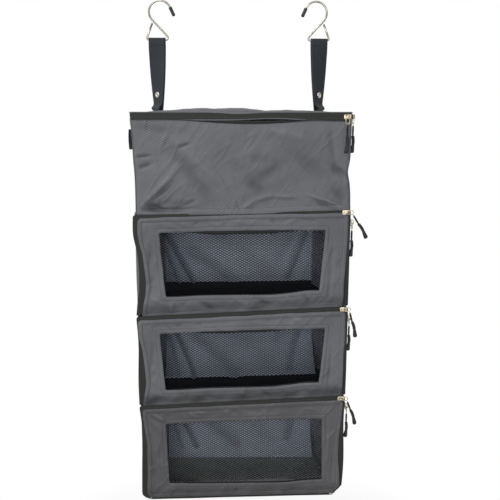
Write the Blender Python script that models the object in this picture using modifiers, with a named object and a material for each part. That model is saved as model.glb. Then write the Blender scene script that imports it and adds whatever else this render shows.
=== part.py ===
"""Hanging organizer: four soft compartments under two wire hooks, in metres, +Z up.

The origin is on the rail, midway between the crowns of the two hooks. The front
faces -Y, and left and right are as seen from the front.
"""

import math

import bmesh
import bpy
from mathutils import Matrix, Vector

# Cloth, board and the gap left between pieces that touch
FABRIC = 0.0015
BOARD = 0.003
FIT = 0.0003

# Bag: in plan it narrows towards the back
FRONT_WIDTH = 0.297
BACK_WIDTH = 0.242
DEPTH = 0.148
POCKET_HEIGHT = 0.133
UPPER_HEIGHT = 0.141
MIDDLE_HEIGHT = 0.134
LOWER_HEIGHT = 0.150

# How far the left end of each door's top seam hangs below its right end
UPPER_SAG = 0.0055
MIDDLE_SAG = 0.011
LOWER_SAG = 0.0103

# Zip tapes
TAPE = 0.0012
LID_TAPE_WIDTH = 0.0044
POCKET_TAPE_WIDTH = 0.0044
BODY_TAPE_WIDTH = 0.0032
DOOR_TAPE_WIDTH = 0.0038

# Lid, and the fixed strip behind it that the back panel folds over into
LID_CROWN = 0.007
REAR_STRIP = 0.027

# Door windows and their nets
WINDOW_TOP_MARGIN = 0.028
WINDOW_FOOT_MARGIN = 0.025
WINDOW_SIDE_MARGIN = 0.034
WINDOW_SIDE_DRAW = 0.007
NET = 0.0008
NET_HEM = 0.006
NET_STRAND = 0.0022
NET_COLUMNS = 15
NET_ROWS = 6

# Webbing tab on the left side
TAB_WIDTH = 0.020
TAB_LENGTH = 0.027
TAB_DROP = 0.016
TAB_THICKNESS = 0.0025
TAB_SETBACK = 0.004

# Straps: two layers of webbing from the bag's rear corners to the hooks
WEBBING_WIDTH = 0.025
WEBBING = 0.0014
STRAP_DROP = 0.1085
STRAP_SPREAD = 0.243
STRAP_SETBACK = 0.0125
STRAP_TWIST = math.radians(64)
LAYER_SPACING = 0.0020
BIGHT_TAPER = 0.030
TAIL_START = 0.008
TAIL_END = 0.004
SNAP_HEIGHT = 0.0285
SNAP_RADIUS = 0.0045
SNAP_CAP = 0.0014
SNAP_STUD = 0.0012
SNAP_ROUNDING = 0.0010
STRAP_STEPS = 18
WEBBING_STEPS = 4
BIGHT_STEPS = 8

# Wire hooks
WIRE_RADIUS = 0.0015
HOOK_BAR = 0.032
HOOK_CORNER = 0.003
HOOK_LEG_RISE = 0.005
CROWN_RADIUS = 0.0164
CROWN_HEIGHT = 0.0395
CROWN_OFFSET = 0.0054
CROWN_END = math.radians(25)
CROWN_STEPS = 18
HOOK_POINT = 0.0115
SLEEVE_RADIUS = 0.0026
SLEEVE_CAP = 0.002
SLEEVE_ROUNDING = 0.0015

# Zip sliders, their wire rings and their pulls
SLIDER_LENGTH = 0.0100
SLIDER_WIDTH = 0.0066
SLIDER_PLATE = 0.0013
ARCH_LENGTH = 0.0066
ARCH_WIDTH = 0.0022
ARCH_WALL = 0.0010
ARCH_EASE = 0.0006
TUNNEL_HEIGHT = 0.0024
RING_WIRE = 0.0005
RING_WIDTH = 0.0052
RING_LENGTH = 0.0085
RING_ROUNDING = 0.0015
CORD_RADIUS = 0.0012
CORD_TIP_RADIUS = 0.0004
CORD_TIP_LENGTH = 0.0014
CORD_EYE = 0.0006
CORD_LENGTH = 0.015
GRIP_RADIUS = 0.0025
GRIP_LENGTH = 0.023
LID_SLIDER_INSET = 0.0085
TOP_SLIDER_INSET = 0.0070
SIDE_SLIDER_DROP = 0.018
UPPER_PULL_LEAN = math.radians(32)
MIDDLE_PULL_LEAN = math.radians(15)
LOWER_PULL_LEAN = math.radians(20)

# Heights and depths that follow
BAR_Z = WIRE_RADIUS - CROWN_HEIGHT - CROWN_RADIUS
RIM_Z = BAR_Z - STRAP_DROP
LID_JOIN_Z = RIM_Z - LID_TAPE_WIDTH
PANEL_TOP_Z = LID_JOIN_Z - FIT
BACK_Y = STRAP_SETBACK
FRONT_Y = BACK_Y - DEPTH
TAPE_Y = FRONT_Y - FIT - TAPE
LID_HINGE_Y = BACK_Y - REAR_STRIP
SIDE_SLOPE = (BACK_WIDTH - FRONT_WIDTH) / 2 / DEPTH
SIDE_TURN = math.atan(SIDE_SLOPE)
SIDE_WALL = FABRIC / math.cos(SIDE_TURN)
TAPE_OUT = (FIT + TAPE) / math.cos(SIDE_TURN)
DOOR_HINGE_Y = TAPE_Y - 0.0005
SEAM_HEAD = max(BODY_TAPE_WIDTH, BOARD) + FIT

SEAM_Z = [
    RIM_Z,
    RIM_Z - POCKET_HEIGHT,
    RIM_Z - POCKET_HEIGHT - UPPER_HEIGHT,
    RIM_Z - POCKET_HEIGHT - UPPER_HEIGHT - MIDDLE_HEIGHT,
    RIM_Z - POCKET_HEIGHT - UPPER_HEIGHT - MIDDLE_HEIGHT - LOWER_HEIGHT,
]
SEAM_SAG = [0.0, UPPER_SAG, MIDDLE_SAG, LOWER_SAG, 0.0]
BOTTOM_Z = SEAM_Z[4] - BOARD
DOORS = ("upper", "middle", "lower")

X = Vector((1, 0, 0))
Y = Vector((0, 1, 0))
Z = Vector((0, 0, 1))


def half_width(y):
    """Half of the bag's width over its side panels, at depth y."""
    return FRONT_WIDTH / 2 + SIDE_SLOPE * (y - FRONT_Y)


def seam(level, x):
    """Height of a seam at x: level 0 is the rim and level 4 the base."""
    return SEAM_Z[level] + SEAM_SAG[level] * x / FRONT_WIDTH


def seam_slope(level):
    return math.atan2(SEAM_SAG[level], FRONT_WIDTH)


# Scene, materials and the pivots that carry what moves
for old in list(bpy.data.objects):
    bpy.data.objects.remove(old, do_unlink=True)

parts = bpy.data.collections.new("hanging_organizer")
cutters = bpy.data.collections.new("cutters")
bpy.context.scene.collection.children.link(parts)
bpy.context.scene.collection.children.link(cutters)


def material(name, colour, roughness, metallic=0.0):
    made = bpy.data.materials.new(name)
    made.use_nodes = True
    shader = made.node_tree.nodes["Principled BSDF"]
    shader.inputs["Base Color"].default_value = (*colour, 1.0)
    shader.inputs["Roughness"].default_value = roughness
    shader.inputs["Metallic"].default_value = metallic
    return made


grey_fabric = material("grey_fabric", (0.14, 0.145, 0.155), 0.75)
black_board = material("black_board", (0.008, 0.008, 0.009), 0.85)
zip_tape = material("zip_tape", (0.03, 0.032, 0.03), 0.7)
netting = material("netting", (0.06, 0.065, 0.075), 0.7)
webbing = material("webbing", (0.035, 0.042, 0.05), 0.65)
hook_steel = material("hook_steel", (0.62, 0.58, 0.52), 0.25, 1.0)
sleeve_plastic = material("sleeve_plastic", (0.025, 0.028, 0.028), 0.5)
zip_metal = material("zip_metal", (0.72, 0.68, 0.58), 0.3, 1.0)
pull_plastic = material("pull_plastic", (0.022, 0.025, 0.025), 0.55)


def pivot(name, place, parent=None):
    """An empty on a joint's axis, carried by the pivot of the piece it hangs from."""
    made = bpy.data.objects.new(name, None)
    made.empty_display_size = 0.01
    made.matrix_world = Matrix.Translation(place)
    parts.objects.link(made)
    carry(made, parent)
    return made


def carry(obj, parent):
    """Parents obj to a pivot and leaves it where it is."""
    if parent is not None:
        bpy.context.view_layer.update()
        world = obj.matrix_world.copy()
        obj.parent = parent
        obj.matrix_parent_inverse = parent.matrix_world.inverted()
        obj.matrix_world = world
        bpy.context.view_layer.update()


def place(name, data, finish, parent, matrix=None):
    made = bpy.data.objects.new(name, data)
    if matrix is not None:
        made.matrix_world = matrix
    if not data.materials:
        data.materials.append(finish)
    parts.objects.link(made)
    carry(made, parent)
    return made


def frame(origin, right, up):
    """Matrix whose local X, Y and Z are right, up and their normal."""
    normal = right.cross(up)
    turn = Matrix((right, up, normal)).transposed()
    return Matrix.Translation(origin) @ turn.to_4x4()


def outline_curve(name, outline, thickness, holes=()):
    """A filled 2D outline, as thick as stated and centred on its own plane."""
    curve = bpy.data.curves.new(name, "CURVE")
    curve.dimensions = "2D"
    curve.fill_mode = "BOTH"
    curve.extrude = thickness / 2
    for ring in (outline, *holes):
        spline = curve.splines.new("POLY")
        spline.points.add(len(ring) - 1)
        for point, (u, v) in zip(spline.points, ring):
            point.co = (u, v, 0, 1)
        spline.use_cyclic_u = True
    return curve


def panel(name, outline, thickness, finish, parent, origin, right, up, holes=()):
    curve = outline_curve(name, outline, thickness, holes)
    return place(name, curve, finish, parent, frame(origin, right, up))


def front_panel(name, outline, thickness, y, finish, parent, holes=()):
    """A panel that faces the front, from y back by its thickness; the outline is (x, z)."""
    middle = Vector((0, y + thickness / 2, 0))
    return panel(name, outline, thickness, finish, parent, middle, X, Z, holes)


def plan_panel(name, outline, low, high, finish, parent):
    """A panel with an outline in plan, (x, y), from one height to another."""
    middle = Vector((0, 0, (low + high) / 2))
    return panel(name, outline, high - low, finish, parent, middle, X, Y)


def mesh_of(obj):
    """A welded mesh of what the object looks like once its curve or modifiers are worked out."""
    bpy.context.view_layer.update()
    graph = bpy.context.evaluated_depsgraph_get()
    mesh = bpy.data.meshes.new_from_object(obj.evaluated_get(graph))
    work = bmesh.new()
    work.from_mesh(mesh)
    bmesh.ops.remove_doubles(work, verts=work.verts, dist=1e-6)
    bmesh.ops.recalc_face_normals(work, faces=work.faces)
    work.to_mesh(mesh)
    work.free()
    return mesh


def as_mesh(obj):
    """Turns a curve object into a mesh object with the same name, place and parent."""
    made = bpy.data.objects.new("mesh", mesh_of(obj))
    made.matrix_world = obj.matrix_world.copy()
    parent = obj.parent
    name = obj.name
    bpy.data.objects.remove(obj, do_unlink=True)
    made.name = name
    parts.objects.link(made)
    carry(made, parent)
    return made


def union(obj, *others):
    """Joins others to obj with Booleans; they stay in the file as hidden helpers."""
    for other in others:
        parts.objects.unlink(other)
        cutters.objects.link(other)
        other.hide_render = True
        other.display_type = "WIRE"
        joined = obj.modifiers.new("join " + other.name, "BOOLEAN")
        joined.operation = "UNION"
        joined.object = other
    return obj


def smooth(mesh, angle=40):
    mesh.shade_smooth()
    mesh.set_sharp_from_angle(angle=math.radians(angle))


def turned(name, profile, steps):
    """A mesh turned about Z from (radius, height) points that run down the outer side."""
    line = bpy.data.meshes.new(name)
    edges = [(i, i + 1) for i in range(len(profile) - 1)]
    line.from_pydata([(r, 0, h) for r, h in profile], edges, [])
    made = bpy.data.objects.new(name, line)
    cutters.objects.link(made)
    screw = made.modifiers.new("turn", "SCREW")
    screw.steps = steps
    screw.render_steps = steps
    screw.use_merge_vertices = True
    screw.merge_threshold = 1e-6
    mesh = mesh_of(made)
    bpy.data.objects.remove(made, do_unlink=True)
    smooth(mesh)
    return mesh


def wire(name, points, radius, cyclic=False, sides=2):
    """A round wire along points, with bevel resolution sides."""
    curve = bpy.data.curves.new(name, "CURVE")
    curve.dimensions = "3D"
    curve.bevel_depth = radius
    curve.bevel_resolution = sides
    curve.use_fill_caps = not cyclic
    spline = curve.splines.new("POLY")
    spline.points.add(len(points) - 1)
    for point, place_at in zip(spline.points, points):
        point.co = (*place_at, 1)
    spline.use_cyclic_u = cyclic
    return curve


def fillet(before, corner, after, radius, steps=3):
    """Points of the arc that rounds a corner, in the plane of its two sides."""
    back = (before - corner).normalized()
    on = (after - corner).normalized()
    half = back.angle(on) / 2
    centre = corner + (back + on).normalized() * radius / math.sin(half)
    first = (corner + back * radius / math.tan(half) - centre).normalized()
    last = (corner + on * radius / math.tan(half) - centre).normalized()
    return [centre + first.slerp(last, i / steps) * radius for i in range(steps + 1)]


def rounded_loop(width, length, radius):
    """A closed rounded rectangle in XY: its near side is on the X axis and it runs to -Y."""
    corners = [
        Vector((width / 2, 0, 0)),
        Vector((width / 2, -length, 0)),
        Vector((-width / 2, -length, 0)),
        Vector((-width / 2, 0, 0)),
    ]
    points = []
    for i, corner in enumerate(corners):
        points += fillet(corners[i - 1], corner, corners[(i + 1) % 4], radius)
    return points


# Pivots
bag_pivot = pivot("bag_pivot", (0, 0, BAR_Z))
lid_pivot = pivot("lid_pivot", (0, LID_HINGE_Y, RIM_Z), bag_pivot)
door_pivots = {}
for level, door in enumerate(DOORS, 1):
    hinge = (0, DOOR_HINGE_Y, seam(level + 1, 0) + FIT)
    door_pivots[door] = pivot("door_" + door + "_pivot", hinge, bag_pivot)


# Hooks: a crown over the rail, a twisted leg and a bar for the webbing
def hook_points():
    """The left hook's wire in x and z from the middle of its bar, and the crown's start."""
    crown = Vector((CROWN_OFFSET, 0, CROWN_HEIGHT))
    left = Vector((-HOOK_BAR / 2, 0, 0))
    right = Vector((HOOK_BAR / 2, 0, 0))
    knee = Vector((HOOK_BAR / 2, 0, HOOK_LEG_RISE))
    reach = (crown - knee).length
    toward_knee = math.atan2(knee.z - crown.z, knee.x - crown.x)
    start = toward_knee - math.acos(CROWN_RADIUS / reach)
    tangent = crown + CROWN_RADIUS * Vector((math.cos(start), 0, math.sin(start)))
    leg = (tangent - knee).normalized()
    meeting = tangent - leg * WIRE_RADIUS
    up_left = (meeting - left).normalized()
    lean = math.sin(up_left.angle(leg))
    left_end = meeting - up_left * (2 * WIRE_RADIUS + FIT) / lean
    points = [left_end]
    points += fillet(left_end, left, right, HOOK_CORNER)
    points += fillet(left, right, knee, HOOK_CORNER)
    points += fillet(right, knee, tangent, HOOK_CORNER)
    sweep = start + 2 * math.pi - CROWN_END
    for i in range(CROWN_STEPS + 1):
        angle = start + 2 * math.pi - sweep * i / CROWN_STEPS
        points.append(crown + CROWN_RADIUS * Vector((math.cos(angle), 0, math.sin(angle))))
    along = Vector((math.sin(CROWN_END), 0, -math.cos(CROWN_END)))
    points.append(points[-1] + along * HOOK_POINT)
    return points, along


def sleeve_mesh():
    bore = WIRE_RADIUS + FIT
    end = HOOK_POINT + FIT
    tip = end + SLEEVE_CAP
    flat = SLEEVE_RADIUS - SLEEVE_ROUNDING
    profile = [(0, tip), (flat, tip), (SLEEVE_RADIUS, tip - SLEEVE_ROUNDING), (SLEEVE_RADIUS, 0)]
    profile += [(bore, 0), (bore, end), (0, end)]
    return turned("sleeve", profile, 12)


def build_hooks():
    points, along = hook_points()
    sleeve = sleeve_mesh()
    for side, name in ((1, "left"), (-1, "right")):
        mirrored = [Vector((side * p.x, p.y, p.z)) for p in points]
        at = Matrix.Translation((-side * STRAP_SPREAD / 2, 0, BAR_Z))
        place("hook_" + name, wire("hook", mirrored, WIRE_RADIUS), hook_steel, None, at)
        direction = Vector((side * along.x, 0, along.z))
        base = at @ mirrored[-2]
        turn = Z.rotation_difference(direction).to_matrix().to_4x4()
        place("hook_tip_" + name, sleeve, sleeve_plastic, None, Matrix.Translation(base) @ turn)


# Straps: each turns from its hook's plane towards the bag's side as it comes down
def strap_frame(side, height):
    """Centre, width direction and outward normal of a strap at a height over the rim."""
    turn = STRAP_TWIST * (1 - min(height, STRAP_DROP) / STRAP_DROP)
    across = Vector((math.cos(turn), side * math.sin(turn), 0))
    out = Vector((side * math.sin(turn), -math.cos(turn), 0))
    return Vector((side * STRAP_SPREAD / 2, 0, RIM_Z + height)), across, out


def layer_offset(height):
    """Distance of a layer's middle from the strap's middle, wider near the hook's bar."""
    bight = WIRE_RADIUS + FIT + WEBBING / 2
    near = max(0.0, 1 - (STRAP_DROP - height) / BIGHT_TAPER)
    return LAYER_SPACING / 2 + (bight - LAYER_SPACING / 2) * near * near * (3 - 2 * near)


def strap_band(name, side, stations, parent):
    """Webbing through stations of (offset from the middle, height)."""
    work = bmesh.new()
    bmesh.ops.create_grid(work, x_segments=WEBBING_STEPS, y_segments=len(stations) - 1, size=1)
    for vert in work.verts:
        step = round((vert.co.y + 1) / 2 * (len(stations) - 1))
        offset, height = stations[step]
        centre, across, out = strap_frame(side, height)
        vert.co = centre + across * vert.co.x * WEBBING_WIDTH / 2 + out * offset
    mesh = bpy.data.meshes.new(name)
    work.to_mesh(mesh)
    work.free()
    band = place(name, mesh, webbing, parent)
    thick = band.modifiers.new("thickness", "SOLIDIFY")
    thick.thickness = WEBBING
    thick.offset = 0
    thick.use_even_offset = True
    return band


def build_straps():
    heights = [STRAP_DROP * i / STRAP_STEPS for i in range(STRAP_STEPS + 1)]
    bight = layer_offset(STRAP_DROP)
    tail_top = STRAP_DROP - TAIL_START
    for side, name in ((-1, "left"), (1, "right")):
        inner = [(-layer_offset(h), max(h, FIT)) for h in heights[:-1]]
        for i in range(BIGHT_STEPS + 1):
            angle = math.pi * i / BIGHT_STEPS
            inner.append((-bight * math.cos(angle), STRAP_DROP + bight * math.sin(angle)))
        inner.append((layer_offset(tail_top + FIT), tail_top + FIT))
        strap_band("strap_" + name, side, inner, bag_pivot)
        tail = [(layer_offset(h), h) for h in heights if TAIL_END < h < tail_top]
        tail = [(layer_offset(TAIL_END), TAIL_END), *tail, (layer_offset(tail_top), tail_top)]
        tail_pivot = pivot("strap_tail_" + name + "_pivot", (0, 0, BAR_Z), bag_pivot)
        strap_band("strap_tail_" + name, side, tail, tail_pivot)
        centre, across, out = strap_frame(side, SNAP_HEIGHT)
        face = LAYER_SPACING / 2 + WEBBING / 2 + FIT
        shoulder = [(SNAP_RADIUS - SNAP_ROUNDING, SNAP_CAP), (SNAP_RADIUS, SNAP_CAP - SNAP_ROUNDING)]
        cap = turned("snap_cap", [(0, SNAP_CAP), *shoulder, (SNAP_RADIUS, 0), (0, 0)], 16)
        rim = [(SNAP_RADIUS, SNAP_STUD), (SNAP_RADIUS, 0)]
        stud = turned("snap_stud", [(0, SNAP_STUD), *rim, (0, 0)], 16)
        outward = frame(centre + out * face, across, out.cross(across))
        inward = frame(centre - out * face, across, -out.cross(across))
        place("snap_cap_" + name, cap, hook_steel, tail_pivot, outward)
        place("snap_stud_" + name, stud, hook_steel, bag_pivot, inward)


# Body of the bag
def u_band(outer_half, y_end, thickness):
    """Plan outline of a band round the front and both sides; outer_half gives its half width."""
    inner_front = TAPE_Y + thickness
    wall = thickness / math.cos(SIDE_TURN)
    return [
        (-outer_half(TAPE_Y), TAPE_Y),
        (outer_half(TAPE_Y), TAPE_Y),
        (outer_half(y_end), y_end),
        (outer_half(y_end) - wall, y_end),
        (outer_half(inner_front) - wall, inner_front),
        (-outer_half(inner_front) + wall, inner_front),
        (-outer_half(y_end) + wall, y_end),
        (-outer_half(y_end), y_end),
    ]


def tape_half(y):
    return half_width(y) + TAPE_OUT


def inner_half(y):
    """Half of the free width between the side panels, with the touching gap taken off."""
    return half_width(y) - SIDE_WALL - FIT


def build_sides():
    rear_y = BACK_Y - FABRIC - FIT
    along = Vector((SIDE_SLOPE, 1, 0)).normalized()
    length = (rear_y - FRONT_Y) / along.y
    step = (LID_HINGE_Y + FIT - FRONT_Y) / along.y
    rear_top = RIM_Z - FABRIC - FIT
    outline = [(0, BOTTOM_Z), (length, BOTTOM_Z), (length, rear_top)]
    outline += [(step, rear_top), (step, PANEL_TOP_Z), (0, PANEL_TOP_Z)]
    for side, name in ((-1, "left"), (1, "right")):
        run = Vector((side * along.x, along.y, 0))
        outward = Vector((side * along.y, -along.x, 0))
        corner = Vector((side * FRONT_WIDTH / 2, FRONT_Y, 0)) - outward * FABRIC / 2
        panel("side_" + name, outline, FABRIC, grey_fabric, bag_pivot, corner, run, Z)
        if name == "left":
            tab_at = corner + outward * (FABRIC / 2 + FIT + TAB_THICKNESS / 2)
            top = PANEL_TOP_Z - TAB_DROP
            tab = [(TAB_SETBACK, top - TAB_LENGTH), (TAB_SETBACK + TAB_WIDTH, top - TAB_LENGTH)]
            tab += [(TAB_SETBACK + TAB_WIDTH, top), (TAB_SETBACK, top)]
            panel("side_tab", tab, TAB_THICKNESS, webbing, bag_pivot, tab_at, run, Z)


def build_back():
    half = BACK_WIDTH / 2
    outline = [(-half, BOTTOM_Z), (half, BOTTOM_Z), (half, RIM_Z), (-half, RIM_Z)]
    back = front_panel("back_panel", outline, FABRIC, BACK_Y - FABRIC, grey_fabric, bag_pivot)
    overlap_y = BACK_Y - FABRIC / 2
    strip = [(-half_width(LID_HINGE_Y), LID_HINGE_Y + FIT), (half_width(LID_HINGE_Y), LID_HINGE_Y + FIT)]
    strip += [(half, overlap_y), (-half, overlap_y)]
    strip = plan_panel("rear_strip", strip, RIM_Z - FABRIC, RIM_Z, grey_fabric, bag_pivot)
    union(as_mesh(back), as_mesh(strip))


def build_floors():
    rear_y = BACK_Y - FABRIC - FIT
    names = ("pocket_floor", "upper_floor", "middle_floor", "base_panel")
    outline = [(-inner_half(FRONT_Y), FRONT_Y), (inner_half(FRONT_Y), FRONT_Y)]
    outline += [(inner_half(rear_y), rear_y), (-inner_half(rear_y), rear_y)]
    for level, name in enumerate(names, 1):
        slope = seam_slope(level)
        right = Vector((math.cos(slope), 0, math.sin(slope)))
        middle = Vector((0, 0, seam(level, 0))) - right.cross(Y) * BOARD / 2
        panel(name, outline, BOARD, black_board, bag_pivot, middle, right, Y)


def build_pocket_front():
    half = inner_half(FRONT_Y + FABRIC)
    outline = [(-half, seam(1, -half) + FIT), (half, seam(1, half) + FIT)]
    outline += [(half, PANEL_TOP_Z), (-half, PANEL_TOP_Z)]
    front_panel("pocket_front", outline, FABRIC, FRONT_Y, grey_fabric, bag_pivot)


# Lid: a crowned panel inside its own half of the zip
def build_lid():
    end_y = LID_HINGE_Y - FIT
    band = u_band(tape_half, end_y, TAPE)
    plan_panel("lid_tape", band, LID_JOIN_Z, RIM_Z, zip_tape, lid_pivot)
    low = LID_JOIN_Z - FIT - POCKET_TAPE_WIDTH
    plan_panel("pocket_tape", band, low, LID_JOIN_Z - FIT, zip_tape, bag_pivot)
    work = bmesh.new()
    bmesh.ops.create_grid(work, x_segments=12, y_segments=6, size=1)
    for vert in work.verts:
        u = vert.co.x
        v = vert.co.y
        y = FRONT_Y + (end_y - FRONT_Y) * (v + 1) / 2
        crown = LID_CROWN * (1 - u**4) * (1 - v**4)
        vert.co = (u * (half_width(y) - FIT), y, RIM_Z - FABRIC / 2 + crown)
    mesh = bpy.data.meshes.new("lid_panel")
    work.to_mesh(mesh)
    work.free()
    smooth(mesh)
    lid = place("lid_panel", mesh, grey_fabric, lid_pivot)
    thick = lid.modifiers.new("thickness", "SOLIDIFY")
    thick.thickness = FABRIC
    thick.offset = 0


# Doors: fabric frames round a net, hinged at their lower seam
def inverted_u(level, outer, width, head):
    """Outline of a band round a door's top and sides, head below the seam over the door."""
    foot = level + 1
    inner = outer - width
    return [
        (-outer, seam(foot, -outer) + FIT),
        (-outer, seam(level, -outer) - head),
        (outer, seam(level, outer) - head),
        (outer, seam(foot, outer) + FIT),
        (inner, seam(foot, inner) + FIT),
        (inner, seam(level, inner) - head - width),
        (-inner, seam(level, -inner) - head - width),
        (-inner, seam(foot, -inner) + FIT),
    ]


def window_outline(level, grow=0.0):
    """A door's window, drawn in at its foot; grow widens it all round."""
    top_half = FRONT_WIDTH / 2 - WINDOW_SIDE_MARGIN + grow
    foot_half = top_half - WINDOW_SIDE_DRAW
    return [
        (-foot_half, seam(level + 1, -foot_half) + WINDOW_FOOT_MARGIN - grow),
        (foot_half, seam(level + 1, foot_half) + WINDOW_FOOT_MARGIN - grow),
        (top_half, seam(level, top_half) - WINDOW_TOP_MARGIN + grow),
        (-top_half, seam(level, -top_half) - WINDOW_TOP_MARGIN + grow),
    ]


def net_holes(level):
    """Diamond gaps of the net, in rows that are offset by half a gap."""
    left_foot, right_foot, right_top, left_top = (Vector(p) for p in window_outline(level))
    holes = []
    for row in range(NET_ROWS):
        count = NET_COLUMNS - row % 2
        for column in range(count):
            across = (column + 0.5 + row % 2 / 2) / NET_COLUMNS
            rise = (row + 0.5) / NET_ROWS
            foot = left_foot.lerp(right_foot, across)
            top = left_top.lerp(right_top, across)
            middle = foot.lerp(top, rise)
            u = (right_foot - left_foot).length / NET_COLUMNS / 2 - NET_STRAND / 2
            v = (top - foot).length / NET_ROWS / 2 + NET_STRAND
            v = min(v, (top - foot).length / NET_ROWS / 2 - NET_STRAND / 2)
            holes.append([
                (middle.x - u, middle.y),
                (middle.x, middle.y + v),
                (middle.x + u, middle.y),
                (middle.x, middle.y - v),
            ])
    return holes


def build_door(level, name):
    hinge = door_pivots[name]
    outer = tape_half(TAPE_Y)
    body_tape = inverted_u(level, outer, BODY_TAPE_WIDTH, 0.0)
    front_panel("tape_" + name, body_tape, TAPE, TAPE_Y, zip_tape, bag_pivot)
    inner = outer - BODY_TAPE_WIDTH - FIT
    door_tape = inverted_u(level, inner, DOOR_TAPE_WIDTH, SEAM_HEAD)
    front_panel("door_tape_" + name, door_tape, TAPE, TAPE_Y, zip_tape, hinge)
    half = inner_half(FRONT_Y + FABRIC)
    foot = level + 1
    sheet = [(-half, seam(foot, -half) + FIT), (half, seam(foot, half) + FIT)]
    sheet += [(half, seam(level, half) - SEAM_HEAD), (-half, seam(level, -half) - SEAM_HEAD)]
    window = [window_outline(level)]
    front_panel("door_" + name, sheet, FABRIC, FRONT_Y, grey_fabric, hinge, window)
    net_y = FRONT_Y + FABRIC + FIT
    hem = window_outline(level, NET_HEM)
    front_panel("net_" + name, hem, NET, net_y, netting, hinge, net_holes(level))


# Zip sliders: local Z is out of the tape, and the ring hangs along local -Y
TUNNEL_FLOOR = FIT + SLIDER_PLATE
RING_HEIGHT = TUNNEL_FLOOR + TUNNEL_HEIGHT / 2
RING_START = ARCH_LENGTH / 2 - ARCH_WALL - TUNNEL_HEIGHT / 2
RING_END = RING_START + RING_LENGTH


def slider_mesh(name, width, length):
    """A slider's plate, width across the ring's line by length along it, under its arch."""
    a, b = width / 2, length / 2
    corner = min(a, b) / 2
    plate = [(a, -b + corner), (a, b - corner), (a - corner, b), (-a + corner, b)]
    plate += [(-a, b - corner), (-a, -b + corner), (-a + corner, -b), (a - corner, -b)]
    base = outline_curve(name, plate, SLIDER_PLATE)
    low = frame(Vector((0, 0, FIT + SLIDER_PLATE / 2)), X, Y)
    base = as_mesh(place(name, base, zip_metal, None, low))
    top = TUNNEL_FLOOR + TUNNEL_HEIGHT + ARCH_WALL
    half = ARCH_LENGTH / 2
    foot = TUNNEL_FLOOR - SLIDER_PLATE / 2
    gap = half - ARCH_WALL
    under = TUNNEL_FLOOR + TUNNEL_HEIGHT
    arch = [(-half, foot), (-gap, foot), (-gap, under), (gap, under), (gap, foot), (half, foot)]
    arch += [(half, top - ARCH_EASE), (half - ARCH_EASE, top)]
    arch += [(-half + ARCH_EASE, top), (-half, top - ARCH_EASE)]
    arch = outline_curve(name, arch, ARCH_WIDTH)
    arch = as_mesh(place(name + "_arch", arch, zip_metal, None, frame(Vector(), Y, Z)))
    mesh = mesh_of(union(base, arch))
    mesh.transform(low)
    bpy.data.objects.remove(arch, do_unlink=True)
    bpy.data.objects.remove(base, do_unlink=True)
    return mesh


def pull_mesh():
    """A cord with its moulded grip, hanging from the origin along -Z."""
    start = -RING_WIRE - CORD_EYE
    neck = start - CORD_LENGTH
    end = neck - GRIP_LENGTH
    ease = GRIP_RADIUS / 2
    profile = [(0, start), (CORD_TIP_RADIUS, start), (CORD_RADIUS, start - CORD_TIP_LENGTH)]
    profile += [(CORD_RADIUS, neck), (GRIP_RADIUS - ease / 2, neck), (GRIP_RADIUS, neck - ease)]
    profile += [(GRIP_RADIUS, end + ease), (GRIP_RADIUS - ease, end), (0, end)]
    return turned("pull", profile, 8)


across_slider = slider_mesh("slider_across", SLIDER_LENGTH, SLIDER_WIDTH)
along_slider = slider_mesh("slider_along", SLIDER_WIDTH, SLIDER_LENGTH)
ring_curve = wire("ring", rounded_loop(RING_WIDTH, RING_LENGTH, RING_ROUNDING), RING_WIRE, True, 1)
pull_shape = pull_mesh()


def zip_set(name, mesh, at, out, hang, pull_along, parent):
    """A slider with its ring and pull: out is away from the tape and hang the ring's line."""
    right = (-hang).cross(out)
    local = frame(at, right, -hang)
    seat = pivot("slider_" + name + "_pivot", at, parent)
    place("slider_" + name, mesh, zip_metal, seat, local)
    top = local @ Vector((0, -RING_START, RING_HEIGHT))
    ring_pivot = pivot("ring_" + name + "_pivot", top, seat)
    place("ring_" + name, ring_curve, zip_metal, ring_pivot, Matrix.Translation(top - at) @ local)
    aside = pull_along.dot(right)
    corner = math.copysign(RING_WIDTH / 2 - RING_ROUNDING, aside) if abs(aside) > 0.1 else 0
    middle = local @ Vector((corner, RING_ROUNDING - RING_END, RING_HEIGHT))
    far = middle + pull_along * RING_ROUNDING
    pull_pivot = pivot("pull_" + name + "_pivot", far, ring_pivot)
    turn = (-Z).rotation_difference(pull_along).to_matrix().to_4x4()
    place("pull_" + name, pull_shape, pull_plastic, pull_pivot, Matrix.Translation(far) @ turn)


def build_zip_sets():
    join_z = LID_JOIN_Z - FIT / 2
    front = Vector((tape_half(TAPE_Y) - LID_SLIDER_INSET, TAPE_Y, join_z))
    zip_set("lid_front", across_slider, front, -Y, -Z, -Z, bag_pivot)
    outward = Vector((math.cos(SIDE_TURN), -math.sin(SIDE_TURN), 0))
    side_y = TAPE_Y + LID_SLIDER_INSET
    side = Vector((tape_half(side_y), side_y, join_z))
    zip_set("lid_side", across_slider, side, outward, -Z, -Z, bag_pivot)
    leans = (UPPER_PULL_LEAN, MIDDLE_PULL_LEAN, LOWER_PULL_LEAN)
    for level, (door, lean) in enumerate(zip(DOORS, leans), 1):
        edge = tape_half(TAPE_Y)
        x = edge - TOP_SLIDER_INSET
        head = Vector((x, TAPE_Y, seam(level, x) - BODY_TAPE_WIDTH - FIT / 2))
        slant = Vector((math.sin(lean), 0, -math.cos(lean)))
        zip_set(door + "_top", along_slider, head, -Y, X, slant, door_pivots[door])
        beside = TAPE_Y + TAPE + FIT + SLIDER_WIDTH / 2
        flank = Vector((edge, beside, seam(level, edge) - SIDE_SLIDER_DROP))
        zip_set(door + "_side", along_slider, flank, X, -Z, -Z, door_pivots[door])


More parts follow.
